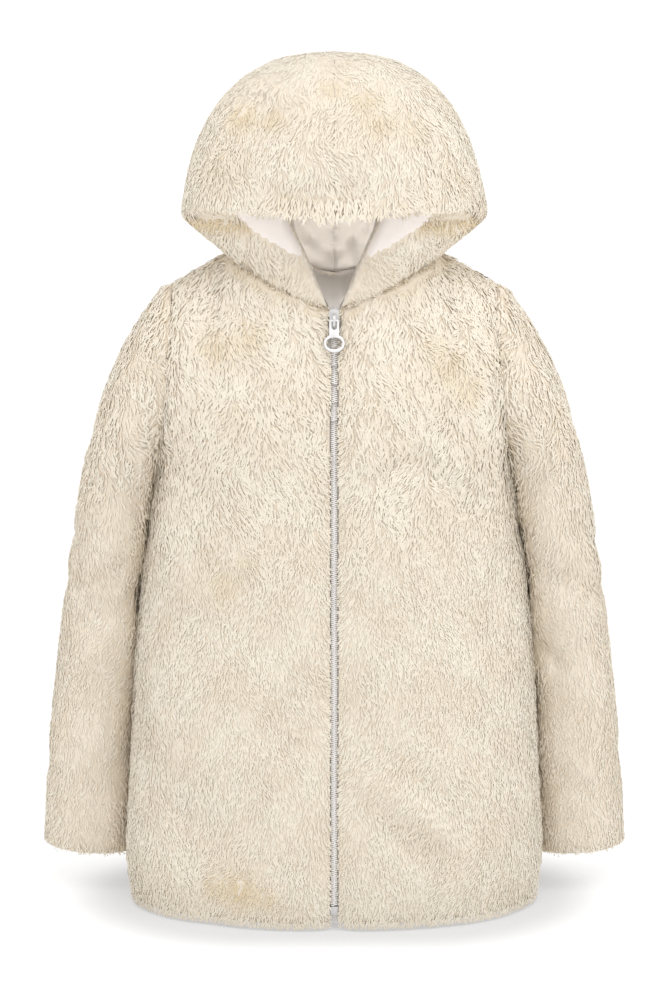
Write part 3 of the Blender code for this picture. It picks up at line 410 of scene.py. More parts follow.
creases = (
    # seen from, from across, from up, to across, to up, half width, depth (a ridge where it is negative)
    ("front", 0.043, -0.369, 0.114, -0.436, 0.0100, 0.0040),
    ("front", 0.017, -0.412, 0.085, -0.457, 0.0085, 0.0032),
    ("front", 0.030, -0.391, 0.100, -0.449, 0.0080, -0.0022),
    ("front", -0.069, -0.363, -0.018, -0.317, 0.0080, 0.0024),
    ("front", -0.046, -0.374, -0.015, -0.348, 0.0065, 0.0022),
    ("front", 0.061, -0.140, 0.123, -0.197, 0.0080, 0.0028),
    ("front", 0.070, -0.128, 0.116, -0.170, 0.0075, -0.0016),
    ("front", 0.024, -0.158, 0.061, -0.143, 0.0070, 0.0022),
    ("front", -0.111, -0.219, -0.073, -0.239, 0.0090, 0.0028),
    ("front", -0.118, -0.160, -0.088, -0.186, 0.0090, 0.0018),
    ("front", 0.097, -0.256, 0.130, -0.292, 0.0110, 0.0020),
    ("front", -0.128, -0.460, -0.118, -0.400, 0.0090, 0.0024),
    ("front", 0.134, -0.505, 0.122, -0.452, 0.0100, 0.0026),
    ("front", -0.161, -0.123, -0.139, -0.183, 0.0065, -0.0036),
    ("front", -0.172, -0.140, -0.156, -0.196, 0.0060, 0.0028),
    ("front", 0.160, -0.118, 0.141, -0.172, 0.0065, -0.0034),
    ("front", 0.171, -0.142, 0.157, -0.190, 0.0060, 0.0026),
    ("front", -0.160, -0.236, -0.202, -0.256, 0.0085, 0.0030),
    ("front", -0.166, -0.272, -0.196, -0.282, 0.0070, 0.0022),
    ("front", 0.158, -0.304, 0.184, -0.324, 0.0060, 0.0034),
    ("front", 0.160, -0.240, 0.206, -0.262, 0.0085, 0.0028),
    ("front", 0.176, -0.412, 0.206, -0.430, 0.0080, 0.0020),
    ("front", -0.180, -0.428, -0.212, -0.416, 0.0080, 0.0022),
    ("front", -0.061, 0.136, -0.026, 0.107, 0.0110, 0.0022),
    ("front", 0.056, 0.132, 0.088, 0.083, 0.0110, 0.0020),
    ("front", -0.112, 0.034, -0.064, 0.035, 0.0055, 0.0050),
    ("front", 0.112, 0.034, 0.064, 0.035, 0.0055, 0.0050),
    ("front", -0.050, 0.0645, 0.036, 0.0645, 0.0045, 0.0010),
    ("front", -0.102, 0.026, -0.060, 0.004, 0.0070, 0.0018),
    ("front", 0.102, 0.026, 0.060, 0.004, 0.0070, 0.0018),
    ("back", -0.128, -0.150, -0.072, -0.214, 0.0100, 0.0034),
    ("back", -0.118, -0.190, -0.060, -0.262, 0.0085, 0.0026),
    ("back", 0.130, -0.146, 0.084, -0.226, 0.0105, 0.0036),
    ("back", 0.112, -0.236, 0.050, -0.276, 0.0090, 0.0024),
    ("back", -0.030, -0.330, 0.034, -0.352, 0.0120, 0.0024),
    ("back", -0.060, -0.505, -0.048, -0.380, 0.0110, 0.0034),
    ("back", 0.018, -0.505, 0.006, -0.410, 0.0100, 0.0028),
    ("back", 0.090, -0.505, 0.074, -0.366, 0.0120, 0.0036),
    ("back", -0.120, -0.500, -0.112, -0.430, 0.0090, 0.0024),
    ("back", -0.052, 0.020, 0.040, 0.012, 0.0080, 0.0026),
    ("back", -0.070, 0.110, -0.044, 0.060, 0.0120, 0.0022),
    ("back", 0.180, -0.236, 0.212, -0.262, 0.0080, 0.0030),
    ("back", -0.176, -0.228, -0.208, -0.248, 0.0080, 0.0030),
    ("back", -0.182, -0.330, -0.214, -0.318, 0.0080, 0.0022),
    ("back", 0.186, -0.400, 0.220, -0.386, 0.0080, 0.0022),
    ("left", -0.020, -0.208, 0.060, -0.246, 0.0085, 0.0030),
    ("left", 0.000, -0.262, 0.072, -0.270, 0.0075, 0.0024),
    ("left", 0.004, -0.120, 0.050, -0.168, 0.0100, 0.0022),
    ("left", 0.012, -0.400, 0.074, -0.418, 0.0085, 0.0024),
    ("right", -0.018, -0.214, 0.062, -0.230, 0.0085, 0.0030),
    ("right", 0.002, -0.250, 0.076, -0.282, 0.0080, 0.0026),
    ("right", 0.000, -0.130, 0.048, -0.158, 0.0100, 0.0022),
    ("right", 0.014, -0.424, 0.078, -0.404, 0.0085, 0.0024),
)
whorls = (
    # x, y, z, radius, turning, tan
    (-0.070, -0.059, 0.118, 0.016, 0.9, 0.8),
    (-0.046, -0.076, 0.118, 0.013, 0.8, 0.6),
    (-0.001, -0.067, 0.140, 0.014, 0.7, 0.6),
    (0.021, -0.075, 0.130, 0.012, 0.8, 0.6),
    (0.033, -0.083, 0.113, 0.012, 0.7, 0.6),
    (0.059, -0.077, 0.106, 0.016, 0.6, 0.2),
    (-0.092, -0.062, 0.074, 0.020, 0.7, 0.2),
    (-0.065, -0.078, -0.050, 0.015, 0.9, 0.5),
    (-0.092, -0.069, -0.059, 0.015, 0.8, 0.5),
    (-0.077, -0.087, -0.107, 0.014, 0.5, 0.2),
    (0.088, -0.076, -0.073, 0.018, 0.9, 0.5),
    (0.069, -0.079, -0.057, 0.014, 0.8, 0.3),
    (0.104, -0.073, -0.093, 0.014, 0.7, 0.5),
    (0.089, -0.080, -0.182, 0.016, 0.7, 0.2),
    (0.069, -0.088, -0.172, 0.013, 0.7, 0.1),
    (-0.085, -0.084, -0.240, 0.017, 0.6, 0.5),
    (-0.101, -0.075, -0.218, 0.013, 0.6, 0.3),
    (-0.070, -0.089, -0.223, 0.012, 0.6, 0.3),
    (-0.074, -0.097, -0.484, 0.018, 0.9, 1.0),
    (-0.094, -0.089, -0.483, 0.012, 0.7, 0.6),
    (-0.052, -0.102, -0.487, 0.011, 0.8, 0.6),
    (0.060, 0.085, -0.090, 0.018, 0.8, 0.4),
    (-0.075, 0.080, -0.140, 0.016, 0.8, 0.4),
    (0.020, 0.092, -0.260, 0.018, 0.6, 0.3),
    (-0.090, 0.085, -0.430, 0.016, 0.7, 0.5),
    (0.085, 0.088, -0.470, 0.016, 0.8, 0.6),
    (-0.040, 0.100, 0.090, 0.016, 0.8, 0.5),
    (0.070, 0.085, 0.060, 0.018, 0.8, 0.4),
)


# the panels' own surfaces, read from the frame's solids

outerSide, innerSide, rimSide = 1, 2, 3
walls = {
    "weld": 1e-6,
    "sharp": 48,  # degrees between a wall's side and its rim
    "thickest": 0.019,
    "nudge": 1e-4,  # a ray starts this far from the face it leaves
    "rounding": 0.75,  # 1 for a middle point wholly on the smooth surface
    "evening": 0.5,
    "borderStep": 0.002,
}
relaxRounds = {"front_left": 3, "front_right": 3, "back": 3}  # the other panels keep their points


def readWall(node):
    # the node's solid, welded, and whether each triangle is the wall's outside, its inside or its rim
    wall = bmesh.new()
    wall.from_mesh(frame["nodes"][node].data)
    bmesh.ops.remove_doubles(wall, verts=wall.verts, dist=walls["weld"])
    patches, seen = [], set()
    for face in wall.faces:
        if face in seen:
            continue
        seen.add(face)
        patch, waiting = [], [face]
        while waiting:
            here = waiting.pop()
            patch.append(here)
            for edge in here.edges:
                if edge.calc_face_angle() < math.radians(walls["sharp"]):
                    fresh = [f for f in edge.link_faces if f not in seen]
                    seen.update(fresh)
                    waiting += fresh
        patches.append((sum(f.calc_area() for f in patch), patch))
    patches.sort(key=lambda item: -item[0])
    side = np.full(len(wall.faces), rimSide)
    wall.faces.index_update()
    wall.verts.index_update()
    if node.startswith("sleeve"):
        tubeSides(wall, side)
    else:
        for number, (_, patch) in enumerate(patches[:2]):
            side[[f.index for f in patch]] = (outerSide, innerSide)[number]
    points = np.array([v.co for v in wall.verts])
    tris = np.array([[v.index for v in f.verts] for f in wall.faces])
    wall.free()
    return {"points": points, "tris": tris, "side": side}


def tubeSides(wall, side):
    # on a tube the inside sees its own far wall, and both sides have the wall's thickness behind them
    tree = BVHTree.FromBMesh(wall)
    for face in wall.faces:
        middle, n = face.calc_center_median(), face.normal
        through = tree.ray_cast(middle - n * walls["nudge"], -n)[3]
        across = tree.ray_cast(middle + n * walls["nudge"], n)[3]
        if through is not None and through < walls["thickest"]:
            side[face.index] = outerSide if across is None else innerSide


def vertexNormals(points, tris):
    a, b, c = (points[tris[:, i]] for i in range(3))
    flat = np.cross(b - a, c - a)
    total = np.zeros_like(points)
    for i in range(3):
        np.add.at(total, tris[:, i], flat)
    return unit(total)


def refine(wall, outerOnly=False):
    # one triangle becomes four, on a smooth surface through the corners; the rims stay straight
    points, tris, side = wall["points"], wall["tris"], wall["side"]
    pairs = np.sort(np.concatenate([tris[:, [0, 1]], tris[:, [1, 2]], tris[:, [2, 0]]]), axis=1)
    edges, place = np.unique(pairs, axis=0, return_inverse=True)
    place = place.ravel()
    kind = np.full(len(edges), rimSide)
    np.minimum.at(kind, place, np.tile(side, 3))
    split = kind == outerSide if outerOnly else np.ones(len(edges), bool)
    a, b = points[edges[:, 0]], points[edges[:, 1]]
    middle = (a + b) / 2
    for wanted in (outerSide, innerSide):
        normals = vertexNormals(points, tris[side == wanted])
        here = kind == wanted
        na, nb = normals[edges[here, 0]], normals[edges[here, 1]]
        m = middle[here]
        onA = m - np.sum((m - a[here]) * na, axis=1, keepdims=True) * na
        onB = m - np.sum((m - b[here]) * nb, axis=1, keepdims=True) * nb
        middle[here] = (1 - walls["rounding"]) * m + walls["rounding"] * (onA + onB) / 2
    number = len(points) + np.cumsum(split) - 1
    corners = tris.T
    middles = number[place].reshape(3, -1)
    cut = split[place].reshape(3, -1)
    whole, once = cut.all(axis=0), cut.sum(axis=0) == 1
    a, b, c = corners[:, whole]
    ab, bc, ca = middles[:, whole]
    fine = [np.stack(t, axis=1) for t in ((a, ab, ca), (ab, b, bc), (ca, bc, c), (ab, bc, ca))]
    sides = [np.tile(side[whole], 4)]
    for k in range(3):
        here = once & cut[k]
        a, b, c = (corners[(k + i) % 3, here] for i in range(3))
        m = middles[k, here]
        fine += [np.stack((a, m, c), axis=1), np.stack((m, b, c), axis=1)]
        sides += [np.tile(side[here], 2)]
    left = ~(whole | once)
    return {"points": np.concatenate([points, middle[split]]), "tris": np.concatenate(fine + [tris[left]]),
            "side": np.concatenate(sides + [side[left]])}


def outerEdges(wall):
    # the edges of the wall's outside, and how many of its triangles use each
    outer = wall["tris"][wall["side"] == outerSide]
    pairs = np.sort(np.concatenate([outer[:, [0, 1]], outer[:, [1, 2]], outer[:, [2, 0]]]), axis=1)
    return np.unique(pairs, axis=0, return_counts=True)


def relaxed(wall, rounds):
    # the wall's outside with its small steps evened out
    points, outer = wall["points"].copy(), wall["tris"][wall["side"] == outerSide]
    edges, uses = outerEdges(wall)
    free = np.zeros(len(points), bool)
    free[outer.ravel()] = True
    free[edges[uses == 1].ravel()] = False
    for _ in range(rounds):
        total, count = np.zeros_like(points), np.zeros(len(points))
        for i, j in ((0, 1), (1, 0)):
            np.add.at(total, edges[:, i], points[edges[:, j]])
            np.add.at(count, edges[:, i], 1)
        points[free] += walls["evening"] * (total[free] / count[free][:, None] - points[free])
    return dict(wall, points=points)


def outwardAll(wall):
    # the way out through the wall at each of its points
    points, tris, side = wall["points"], wall["tris"], wall["side"]
    outward = np.zeros_like(points)
    for wanted, sign in ((innerSide, -1), (outerSide, 1)):
        used = np.unique(tris[side == wanted])
        outward[used] = sign * vertexNormals(points, tris[side == wanted])[used]
    return outward


def creaseDepth(p, outward):
    # how far in the creases press the cloth
    total = np.zeros(len(p))
    views = {"front": (0, -outward[:, 1]), "back": (0, outward[:, 1]),
             "left": (1, outward[:, 0]), "right": (1, -outward[:, 0])}
    for seen, x0, z0, x1, z1, halfWidth, depth in creases:
        axis, towards = views[seen]
        here = p[:, [axis, 2]]
        start, run = np.array((x0, z0)), np.array((x1 - x0, z1 - z0))
        share = np.clip((here - start) @ run / (run @ run), 0, 1)
        away = np.linalg.norm(here - start - share[:, None] * run, axis=1) / halfWidth
        fade = smoothStep(creaseFade["from"], creaseFade["whole"], towards)
        fade = fade * (1 - creaseFade["ends"] * np.abs(2 * share - 1) ** 2)
        total += depth * fade * np.exp(-away ** 2)
    return total


def creased(wall, node):
    # the wall with the creases pressed into its outside
    outward = outwardAll(wall)
    depth = creaseDepth(wall["points"], outward)
    depth[np.setdiff1d(np.arange(len(depth)), wall["tris"][wall["side"] == outerSide])] = 0
    if node.startswith("front"):
        depth *= smoothStep(creaseFade["zipFrom"], creaseFade["zipTo"], np.abs(wall["points"][:, 0]))
    return dict(wall, points=wall["points"] - outward * depth[:, None])


def borderPoints(wall):
    # points along the edge between the wall's outside and its rim
    points = wall["points"]
    edges, uses = outerEdges(wall)
    a, b = points[edges[uses == 1, 0]], points[edges[uses == 1, 1]]
    out = []
    for p, q in zip(a, b):
        steps = max(2, int(np.linalg.norm(q - p) / walls["borderStep"]))
        out.append(p + (q - p) * np.linspace(0, 1, steps)[:, None])
    return np.concatenate(out)


def isFree(node, p):
    # the border is a free edge here, and not sewn to another panel
    x, y, z = np.abs(p[:, 0]), p[:, 1], p[:, 2]
    if node.startswith("front"):
        return (z < freeEdge["hem"]) | (x < freeEdge["zip"])
    if node == "back":
        return z < freeEdge["hem"]
    if node.startswith("sleeve"):
        return z < freeEdge["cuff"]
    face = (y < freeEdge["faceFront"]) & (z < freeEdge["faceTop"])
    return face & ((x > freeEdge["chinHalf"]) | (z > freeEdge["chinTop"])) & ((z > 0.0) | (x < freeEdge["neckHalf"]))


def isOpening(p):
    # of a hood's border, the edge beside the face opening, below the brim
    across = (p[:, 1] < freeEdge["faceFront"]) & (np.abs(p[:, 0]) < freeEdge["openingHalf"])
    return across & (p[:, 2] > freeEdge["openingFoot"]) & (p[:, 2] < freeEdge["openingTop"])


def search(targets, points):
    # for each point, its nearest target, that target's number and how far it is
    tree = KDTree(len(targets))
    for i, p in enumerate(targets):
        tree.insert(p, i)
    tree.balance()
    return [tree.find(p) for p in points]


def distanceTo(targets, points):
    return np.array([found[2] for found in search(targets, points)])


def nearest(targets, points):
    return np.array([found[1] for found in search(targets, points)])


facing = {
    # smooth lining turned out beside the face opening
    "width": 0.046, "top": 0.042, "foot": 0.009, "ceiling": 0.0445, "front": -0.035, "narrowest": 0.001,
    "soft": 0.86, "overgrown": 0.0045, "ragged": (0.6, 1.4),
}


def facingShare(node, p, openingDistance):
    # 1 on the smooth facing under the brim, 0 where pile stands
    if not node.startswith("hood"):
        return np.zeros(len(p))
    share = np.clip((p[:, 2] - facing["foot"]) / (facing["top"] - facing["foot"]), 0, 1)
    width = facing["width"] * share
    inside = (p[:, 1] < facing["front"]) & (p[:, 2] < facing["ceiling"]) & (width > facing["narrowest"])
    return np.where(inside, smoothStep(1.0, facing["soft"], openingDistance / np.maximum(width, 1e-5)), 0.0)


def bandShare(node, p):
    # 1 on the turned-back band at the middle of the brim
    if not node.startswith("hood"):
        return np.zeros(len(p))
    across = smoothStep(0, brimBand["ends"], p[:, 0] - brimBand["fromX"])
    across = across * smoothStep(0, brimBand["ends"], brimBand["toX"] - p[:, 0])
    up = smoothStep(0, brimBand["edge"], brimBand["top"] - p[:, 2]) * (p[:, 2] > brimBand["foot"])
    return across * (up * (p[:, 1] < brimBand["front"]))


def coarseShare(p):
    # 1 on the hood, the chest and the shoulders, where the locks are large and curly
    height = p[:, 2] + coarsePile["wander"] * waves(p, coarsePile["wanderSize"], 21)
    return smoothStep(coarsePile["from"], coarsePile["to"], height)


def napDirection(node, p, n):
    # which way the pile lies
    down = np.tile((0.0, 0.0, -1.0), (len(p), 1))
    side = np.sign(p[:, 0])
    if node.startswith("hood"):
        high = smoothStep(nap["crownFrom"], nap["crownTo"], p[:, 2])[:, None]
        down = unit(down * (nap["crownDown"] - high) + unit(p - np.array(nap["crown"])) * high)
        cheek = smoothStep(nap["cheekTop"], nap["cheekWhole"], p[:, 2])
        cheek = cheek * smoothStep(nap["cheekFrom"], nap["cheekTo"], p[:, 1])
        down[:, 0] += nap["cheek"] * side * cheek
    if node.startswith("front"):
        down[:, 0] -= nap["zip"] * side * smoothStep(nap["zipFrom"], nap["zipTo"], np.abs(p[:, 0]))
    d = unit(down - np.sum(down * n, axis=1, keepdims=True) * n)
    across = np.cross(n, d)
    coarse = coarseShare(p)
    turn = np.zeros(len(p))
    for size, fine, more, seed in napTurns:
        turn += (fine + more * coarse) * waves(p, size, seed)
    turn *= 1 - nap["bandCalm"] * bandShare(node, p)
    d = d * np.cos(turn)[:, None] + across * np.sin(turn)[:, None]
    for x, y, z, radius, turning, _ in whorls:
        away = p - np.array((x, y, z)) - nap["whorlRise"] * radius * np.array((0, 0, 1))
        weight = turning * np.exp(-(np.linalg.norm(away, axis=1) / (nap["whorlReach"] * radius)) ** 2)
        out = unit(away - np.sum(away * n, axis=1, keepdims=True) * n)
        d = unit(d + out * weight[:, None])
    return d


def tanShare(p):
    # how tan the locks are, in the middle of the whorls
    total = np.zeros(len(p))
    for x, y, z, radius, _, tan in whorls:
        away = np.linalg.norm(p - np.array((x, y, z)), axis=1)
        total += tan * np.exp(-(away / (nap["tanReach"] * radius)) ** 2)
    return np.clip(total, 0, 1)


def sampleRoots(wall, count):
    # points spread evenly over the wall's outside
    points, tris = wall["points"], wall["tris"][wall["side"] == outerSide]
    normals = vertexNormals(points, tris)
    a, b, c = (points[tris[:, i]] for i in range(3))
    areas = np.linalg.norm(np.cross(b - a, c - a), axis=1)
    ends = np.cumsum(areas) / areas.sum()
    spots = (np.arange(count) + rng.random(count)) / count
    pick = np.minimum(np.searchsorted(ends, spots), len(tris) - 1)
    u, v = rng.random(count), rng.random(count)
    flip = u + v > 1
    u[flip], v[flip] = 1 - u[flip], 1 - v[flip]
    share = np.stack([1 - u - v, u, v], axis=1)[:, :, None]
    return np.sum(points[tris[pick]] * share, axis=1), unit(np.sum(normals[tris[pick]] * share, axis=1))


def buildLocks(lock):
    # a lock is a pointed leaf with a ridge along it; a long one has one more station
    root, n, lean, width = lock["root"], lock["n"], lock["lean"], lock["width"]
    across = unit(np.cross(lean, n))
    count = len(root)

    def centre(t, lift):
        at = root + lean * (lock["length"] * t)[:, None] + n * (lock["rise"] * lift)[:, None]
        aside = lock["bend"] * math.sin(math.pi * pile["bendTurn"] * t)
        return at + across * aside[:, None] + lock["drawn"] * t ** pile["pullCurve"]

    rows, heights = [root[:, None, :]], [0.0]
    facings = [n[:, None, :]]
    for t, lift, wide in lock["stations"]:
        at = centre(t, lift)
        half = across * (width * wide / 2)[:, None]
        ridge = n * (width * wide * pile["ridge"])[:, None]
        rows.append(np.stack([at - half, at + ridge, at + half], axis=1))
        turned = pile["roundness"] * across
        facings.append(np.stack([unit(n - turned), n, unit(n + turned)], axis=1))
        heights += [t, t, t]
    rows.append(centre(1.0, lock["tipLift"])[:, None, :])
    facings.append(unit(n + pile["tipShine"] * lean)[:, None, :])
    heights.append(1.0)
    verts = np.concatenate(rows, axis=1)
    facings = np.concatenate(facings, axis=1)
    size = verts.shape[1]
    pattern = [(0, 1, 2), (0, 2, 3)]
    for k in range(len(lock["stations"]) - 1):
        i = 1 + 3 * k
        pattern += [(i, i + 3, i + 4), (i, i + 4, i + 1), (i + 1, i + 4, i + 5), (i + 1, i + 5, i + 2)]
    i = size - 4
    pattern += [(i, size - 1, i + 1), (i + 1, size - 1, i + 2)]
    tris = np.array(pattern)[:, ::-1][None] + (np.arange(count) * size)[:, None, None]
    along = np.stack([np.repeat(lock["shade"], size), np.tile(heights, count)], axis=1)
    tint = np.stack([np.repeat(lock["tan"], size), np.repeat(lock["patch"], size)], axis=1)
    return verts.reshape(-1, 3), tris.reshape(-1, 3), along, tint, facings.reshape(-1, 3)


pullBed = {"steps": 12, "band": 0.0025, "half": 0.0088, "past": 0.001, "front": -0.04, "gap": 0.0003}


def underPull(verts):
    # presses the pile that the zip's pull lies on back behind it
    pull = np.array([v.co for v in frame["nodes"]["zip_pull"].data.vertices])
    heights = np.linspace(pull[:, 2].min(), pull[:, 2].max(), pullBed["steps"])
    rear = np.array([pull[np.abs(pull[:, 2] - h) < pullBed["band"]][:, 1].max() for h in heights])
    held = (np.abs(verts[:, 0]) < pullBed["half"]) & (verts[:, 1] < pullBed["front"])
    held &= (verts[:, 2] > heights[0] - pullBed["past"]) & (verts[:, 2] < heights[-1] + pullBed["past"])
    limit = np.interp(verts[:, 2], heights, rear) + pullBed["gap"]
    verts[held, 1] = np.maximum(verts[held, 1], limit[held])


def aboveWall(wall, p):
    # how far above the wall's outside each point is
    points, tris = wall["points"], wall["tris"][wall["side"] == outerSide]
    normals = vertexNormals(points, tris)
    used = np.unique(tris)
    near = used[nearest(points[used], p)]
    return np.sum((p - points[near]) * normals[near], axis=1)


def seamShare(node, border, p):
    # 1 at the neck seam, on its hood and its front
    if not node.startswith(("hood", "front")):
        return np.zeros(len(p))
    x, y, z = np.abs(border[:, 0]), border[:, 1], border[:, 2]
    seam = (z > neckSeam["foot"]) & (z < neckSeam["top"]) & (y < neckSeam["front"])
    seam &= (x > neckSeam["fromX"]) & (x < neckSeam["toX"]) & ~isOpening(border)
    return np.exp(-(distanceTo(border[seam], p) / neckSeam["width"]) ** 2)


def seamDip(node, border, p):
    # how far the front's cloth goes in there, under the hood's pile
    return seamShare(node, border, p) * neckSeam["dip"] * node.startswith("front")


def beside(node):
    # points of the panels that touch this one below the armpit
    trunk, sleeves = ("front_left", "front_right", "back"), ("sleeve_left", "sleeve_right")
    others = [panels[name] for name in (trunk if node in sleeves else sleeves)]
    return np.concatenate([wall["points"][np.unique(wall["tris"][wall["side"] == outerSide])] for wall in others])


def hasPile(node, border, root, n, keep):
    # leaves the smooth facing and the underside of the brim bare; keep says which locks are there so far
    ragged = facing["overgrown"] * rng.uniform(*facing["ragged"], len(root))
    fromOpening = distanceTo(border[isOpening(border)], root) + ragged
    keep &= facingShare(node, root, fromOpening) < 0.5
    keep &= ~((n[:, 2] < underBrim["facing"]) & (root[:, 1] < underBrim["front"]) & (root[:, 2] > underBrim["foot"]))
    return keep


def lockRoots(node, border, root, n):
    # where the locks stand, a little in from the panel's surface or out from it, and the painted shade that tints the
    # front's locks tan at the neck seam
    hood, front = node.startswith("hood"), node.startswith("front")
    base = root - n * pile["rootDepth"] + n * (brimBand["proud"] * bandShare(node, root))[:, None]
    atSeam = seamShare(node, border, root)
    base += n * (atSeam * neckSeam["lap"] * hood - seamDip(node, border, root))[:, None]
    if not hood:
        near = np.exp(-(distanceTo(beside(node), root) / pile["besideWidth"]) ** 2)
        lap = np.where(root[:, 2] < pile["armpit"], pile["besideLap"], pile["armholeLap"])
        base += n * (near * lap)[:, None]
    return base, atSeam * front


def shadeUnderBrim(root):
    # painted shade: a tan band on the locks just under the brim's corners
    low = np.exp(-((root[:, 2] - brimShade["height"]) / brimShade["width"]) ** 2) * (root[:, 1] < brimShade["front"])
    return low * smoothStep(0, brimShade["soft"], np.abs(root[:, 0]) - brimShade["fromX"])


def growPile(node, wall, count):
    hood, front = node.startswith("hood"), node.startswith("front")
    root, n = sampleRoots(wall, count)
    border = borderPoints(wall)
    coarse = coarseShare(root) * (coarsePile["hoodShare"] if hood else 1.0)
    keep = rng.random(count) > coarsePile["thinner"] * coarse
    if hood:
        keep = hasPile(node, border, root, n, keep)
    root, n, coarse = root[keep], n[keep], coarse[keep]
    count = len(root)
    beyond = np.abs(root[:, 0])
    toFree = distanceTo(border[isFree(node, border)], root)

    lean = napDirection(node, root, n)
    spread = rng.normal(0, pile["spread"], count)
    across = np.cross(n, lean)
    lean = unit(lean * np.cos(spread)[:, None] + across * np.sin(spread)[:, None])
    if front:
        upward = seamShare(node, border, root) * neckSeam["upward"] > rng.random(count)
        lean[upward] *= -1

    base, seamPaintedShade = lockRoots(node, border, root, n)
    # tan holds the whorls' tan and painted shade at the neck seam and under the brim's corners
    tan = np.maximum(tanShare(root), seamPaintedShade)
    if hood:
        tan = np.maximum(tan, shadeUnderBrim(root))

    level = 1 - pile["topFlatter"] * smoothStep(pile["topFrom"], pile["topWhole"], n[:, 2]) * hood
    thick = (1 + pile["thickPatch"] * waves(root, pile["thickSize"], 11)) * level
    thick = thick * (1 + coarsePile["higher"] * coarse)
    length = pile["length"] * rng.uniform(*pile["lengthRange"], count) * (1 - pile["tanShorter"] * tan)
    length = length * (1 + coarsePile["longer"] * coarse)
    over = smoothStep(pile["brimFrom"], pile["brimWhole"], beyond) * hood
    over = pile["overhang"] * (1 + pile["brimOverhang"] * over)
    over = over * (pile["cuffOverhang"] if node.startswith("sleeve") else 1.0)
    room = toFree + over * rng.uniform(*pile["overRange"], count)
    length = np.minimum(length, np.maximum(room, pile["shortest"]))
    fringe = (toFree < brimFringe["width"]) * (beyond < brimFringe["half"]) * hood * (root[:, 2] > brimFringe["foot"])
    length = length * (1 + brimFringe["longer"] * fringe)

    reach = root + lean * length[:, None]
    follow = np.clip(aboveWall(wall, reach) - aboveWall(wall, root), -pile["follow"], pile["follow"])
    tip = base + lean * length[:, None]
    seeds = rng.permutation(count)[:count // pile["clumpEvery"]]
    mate = seeds[nearest(tip[seeds], tip)]
    drawn = (tip[mate] - tip) * (pile["clumpPull"] * (1 + coarsePile["clumped"] * coarse))[:, None]
    drawn -= n * (np.sum(drawn * n, axis=1) + follow)[:, None]
    lock = {
        "root": base, "n": n, "lean": lean, "length": length, "drawn": drawn,
        "rise": pile["rise"] * rng.uniform(*pile["riseRange"], count) * thick,
        "width": pile["width"] * rng.uniform(*pile["widthRange"], count) * (1 + coarsePile["wider"] * coarse),
        "bend": rng.normal(0, pile["bend"], count) * (1 + coarsePile["bent"] * coarse),
        "tipLift": rng.uniform(*pile["tipLift"], count),
        "shade": rng.random(count), "tan": tan,
        "patch": np.clip(0.5 + 0.5 * waves(root, pile["tintSize"], 12), 0, 1),
    }
    long = rng.random(count) < pile["longShare"] + coarsePile["longShare"] * coarse
    parts, offset = [], 0
    for which, stations in ((~long, pile["shortStations"]), (long, pile["longStations"])):
        chosen = {key: value[which] for key, value in lock.items()}
        verts, tris, along, tint, facings = buildLocks({**chosen, "stations": stations})
        parts.append((verts, tris + offset, along, tint, facings))
        offset += len(verts)
    verts, tris, along, tint, facings = (np.concatenate(group) for group in zip(*parts))
    floorLine = pile["lowest"] + pile["hemWave"] * np.sin(verts[:, 0] * pile["hemWaves"])
    verts[:, 2] = np.maximum(verts[:, 2], floorLine)
    if front:
        side = np.sign(root[0, 0])
        verts[:, 0] = side * np.maximum(side * verts[:, 0], pile["slotHalf"])
        underPull(verts)
    return verts, tris, along, tint, facings


def groundCloth(node, wall):
    # the panel's wall moved in under the locks, but not where the facing is smooth, and how smooth each point is
    points, tris, side = wall["points"].copy(), wall["tris"], wall["side"]
    normals = vertexNormals(points, tris[side == outerSide])
    used = np.unique(tris[side == outerSide])
    border = borderPoints(wall)
    smooth = np.zeros(len(used))
    if node.startswith("hood"):
        smooth = facingShare(node, points[used], distanceTo(border[isOpening(border)], points[used]))
    depth = pile["clothDepth"] * (1 - smooth) + seamDip(node, border, points[used])
    points[used] -= normals[used] * depth[:, None]
    low = points[:, 2] < pile["hemFrom"]
    if not node.startswith("sleeve"):
        points[low, 2] += pile["hemLift"]
    bare = np.zeros(len(points))
    bare[used] = smooth
    return points, bare


def makePanel(node, count):
    wall = creased(refine(panels[node], outerOnly=True), node)
    tris, side = wall["tris"], wall["side"]
    points, bare = groundCloth(node, wall)
    ground, knit, smooth = range(3)
    finish = np.where(side == outerSide, np.where(bare[tris].mean(axis=1) > 0.5, smooth, ground), knit)
    finish = np.where((side == rimSide) & (bare[tris].max(axis=1) > 0.5), smooth, finish)
    cloth = addObject(node + "_cloth", fromArrays(node + "_cloth", points, tris, finish=finish),
                      (pileGround, knitBack, smoothFacing))
    verts, lockTris, along, tint, facings = growPile(node, wall, count)
    locks = fromArrays(node + "_pile", verts, lockTris, (("pile", along), ("tint", tint)), normals=facings)
    pileItem = addObject(node + "_pile", locks, (creamPile,))
    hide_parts(node)
    print(node, "has", len(lockTris), "triangles of pile and", len(tris), "of cloth")


panels = {node: relaxed(refine(readWall(node)), relaxRounds.get(node, 0)) for node in lockCounts}
for node, count in lockCounts.items():
    makePanel(node, count)


# linings

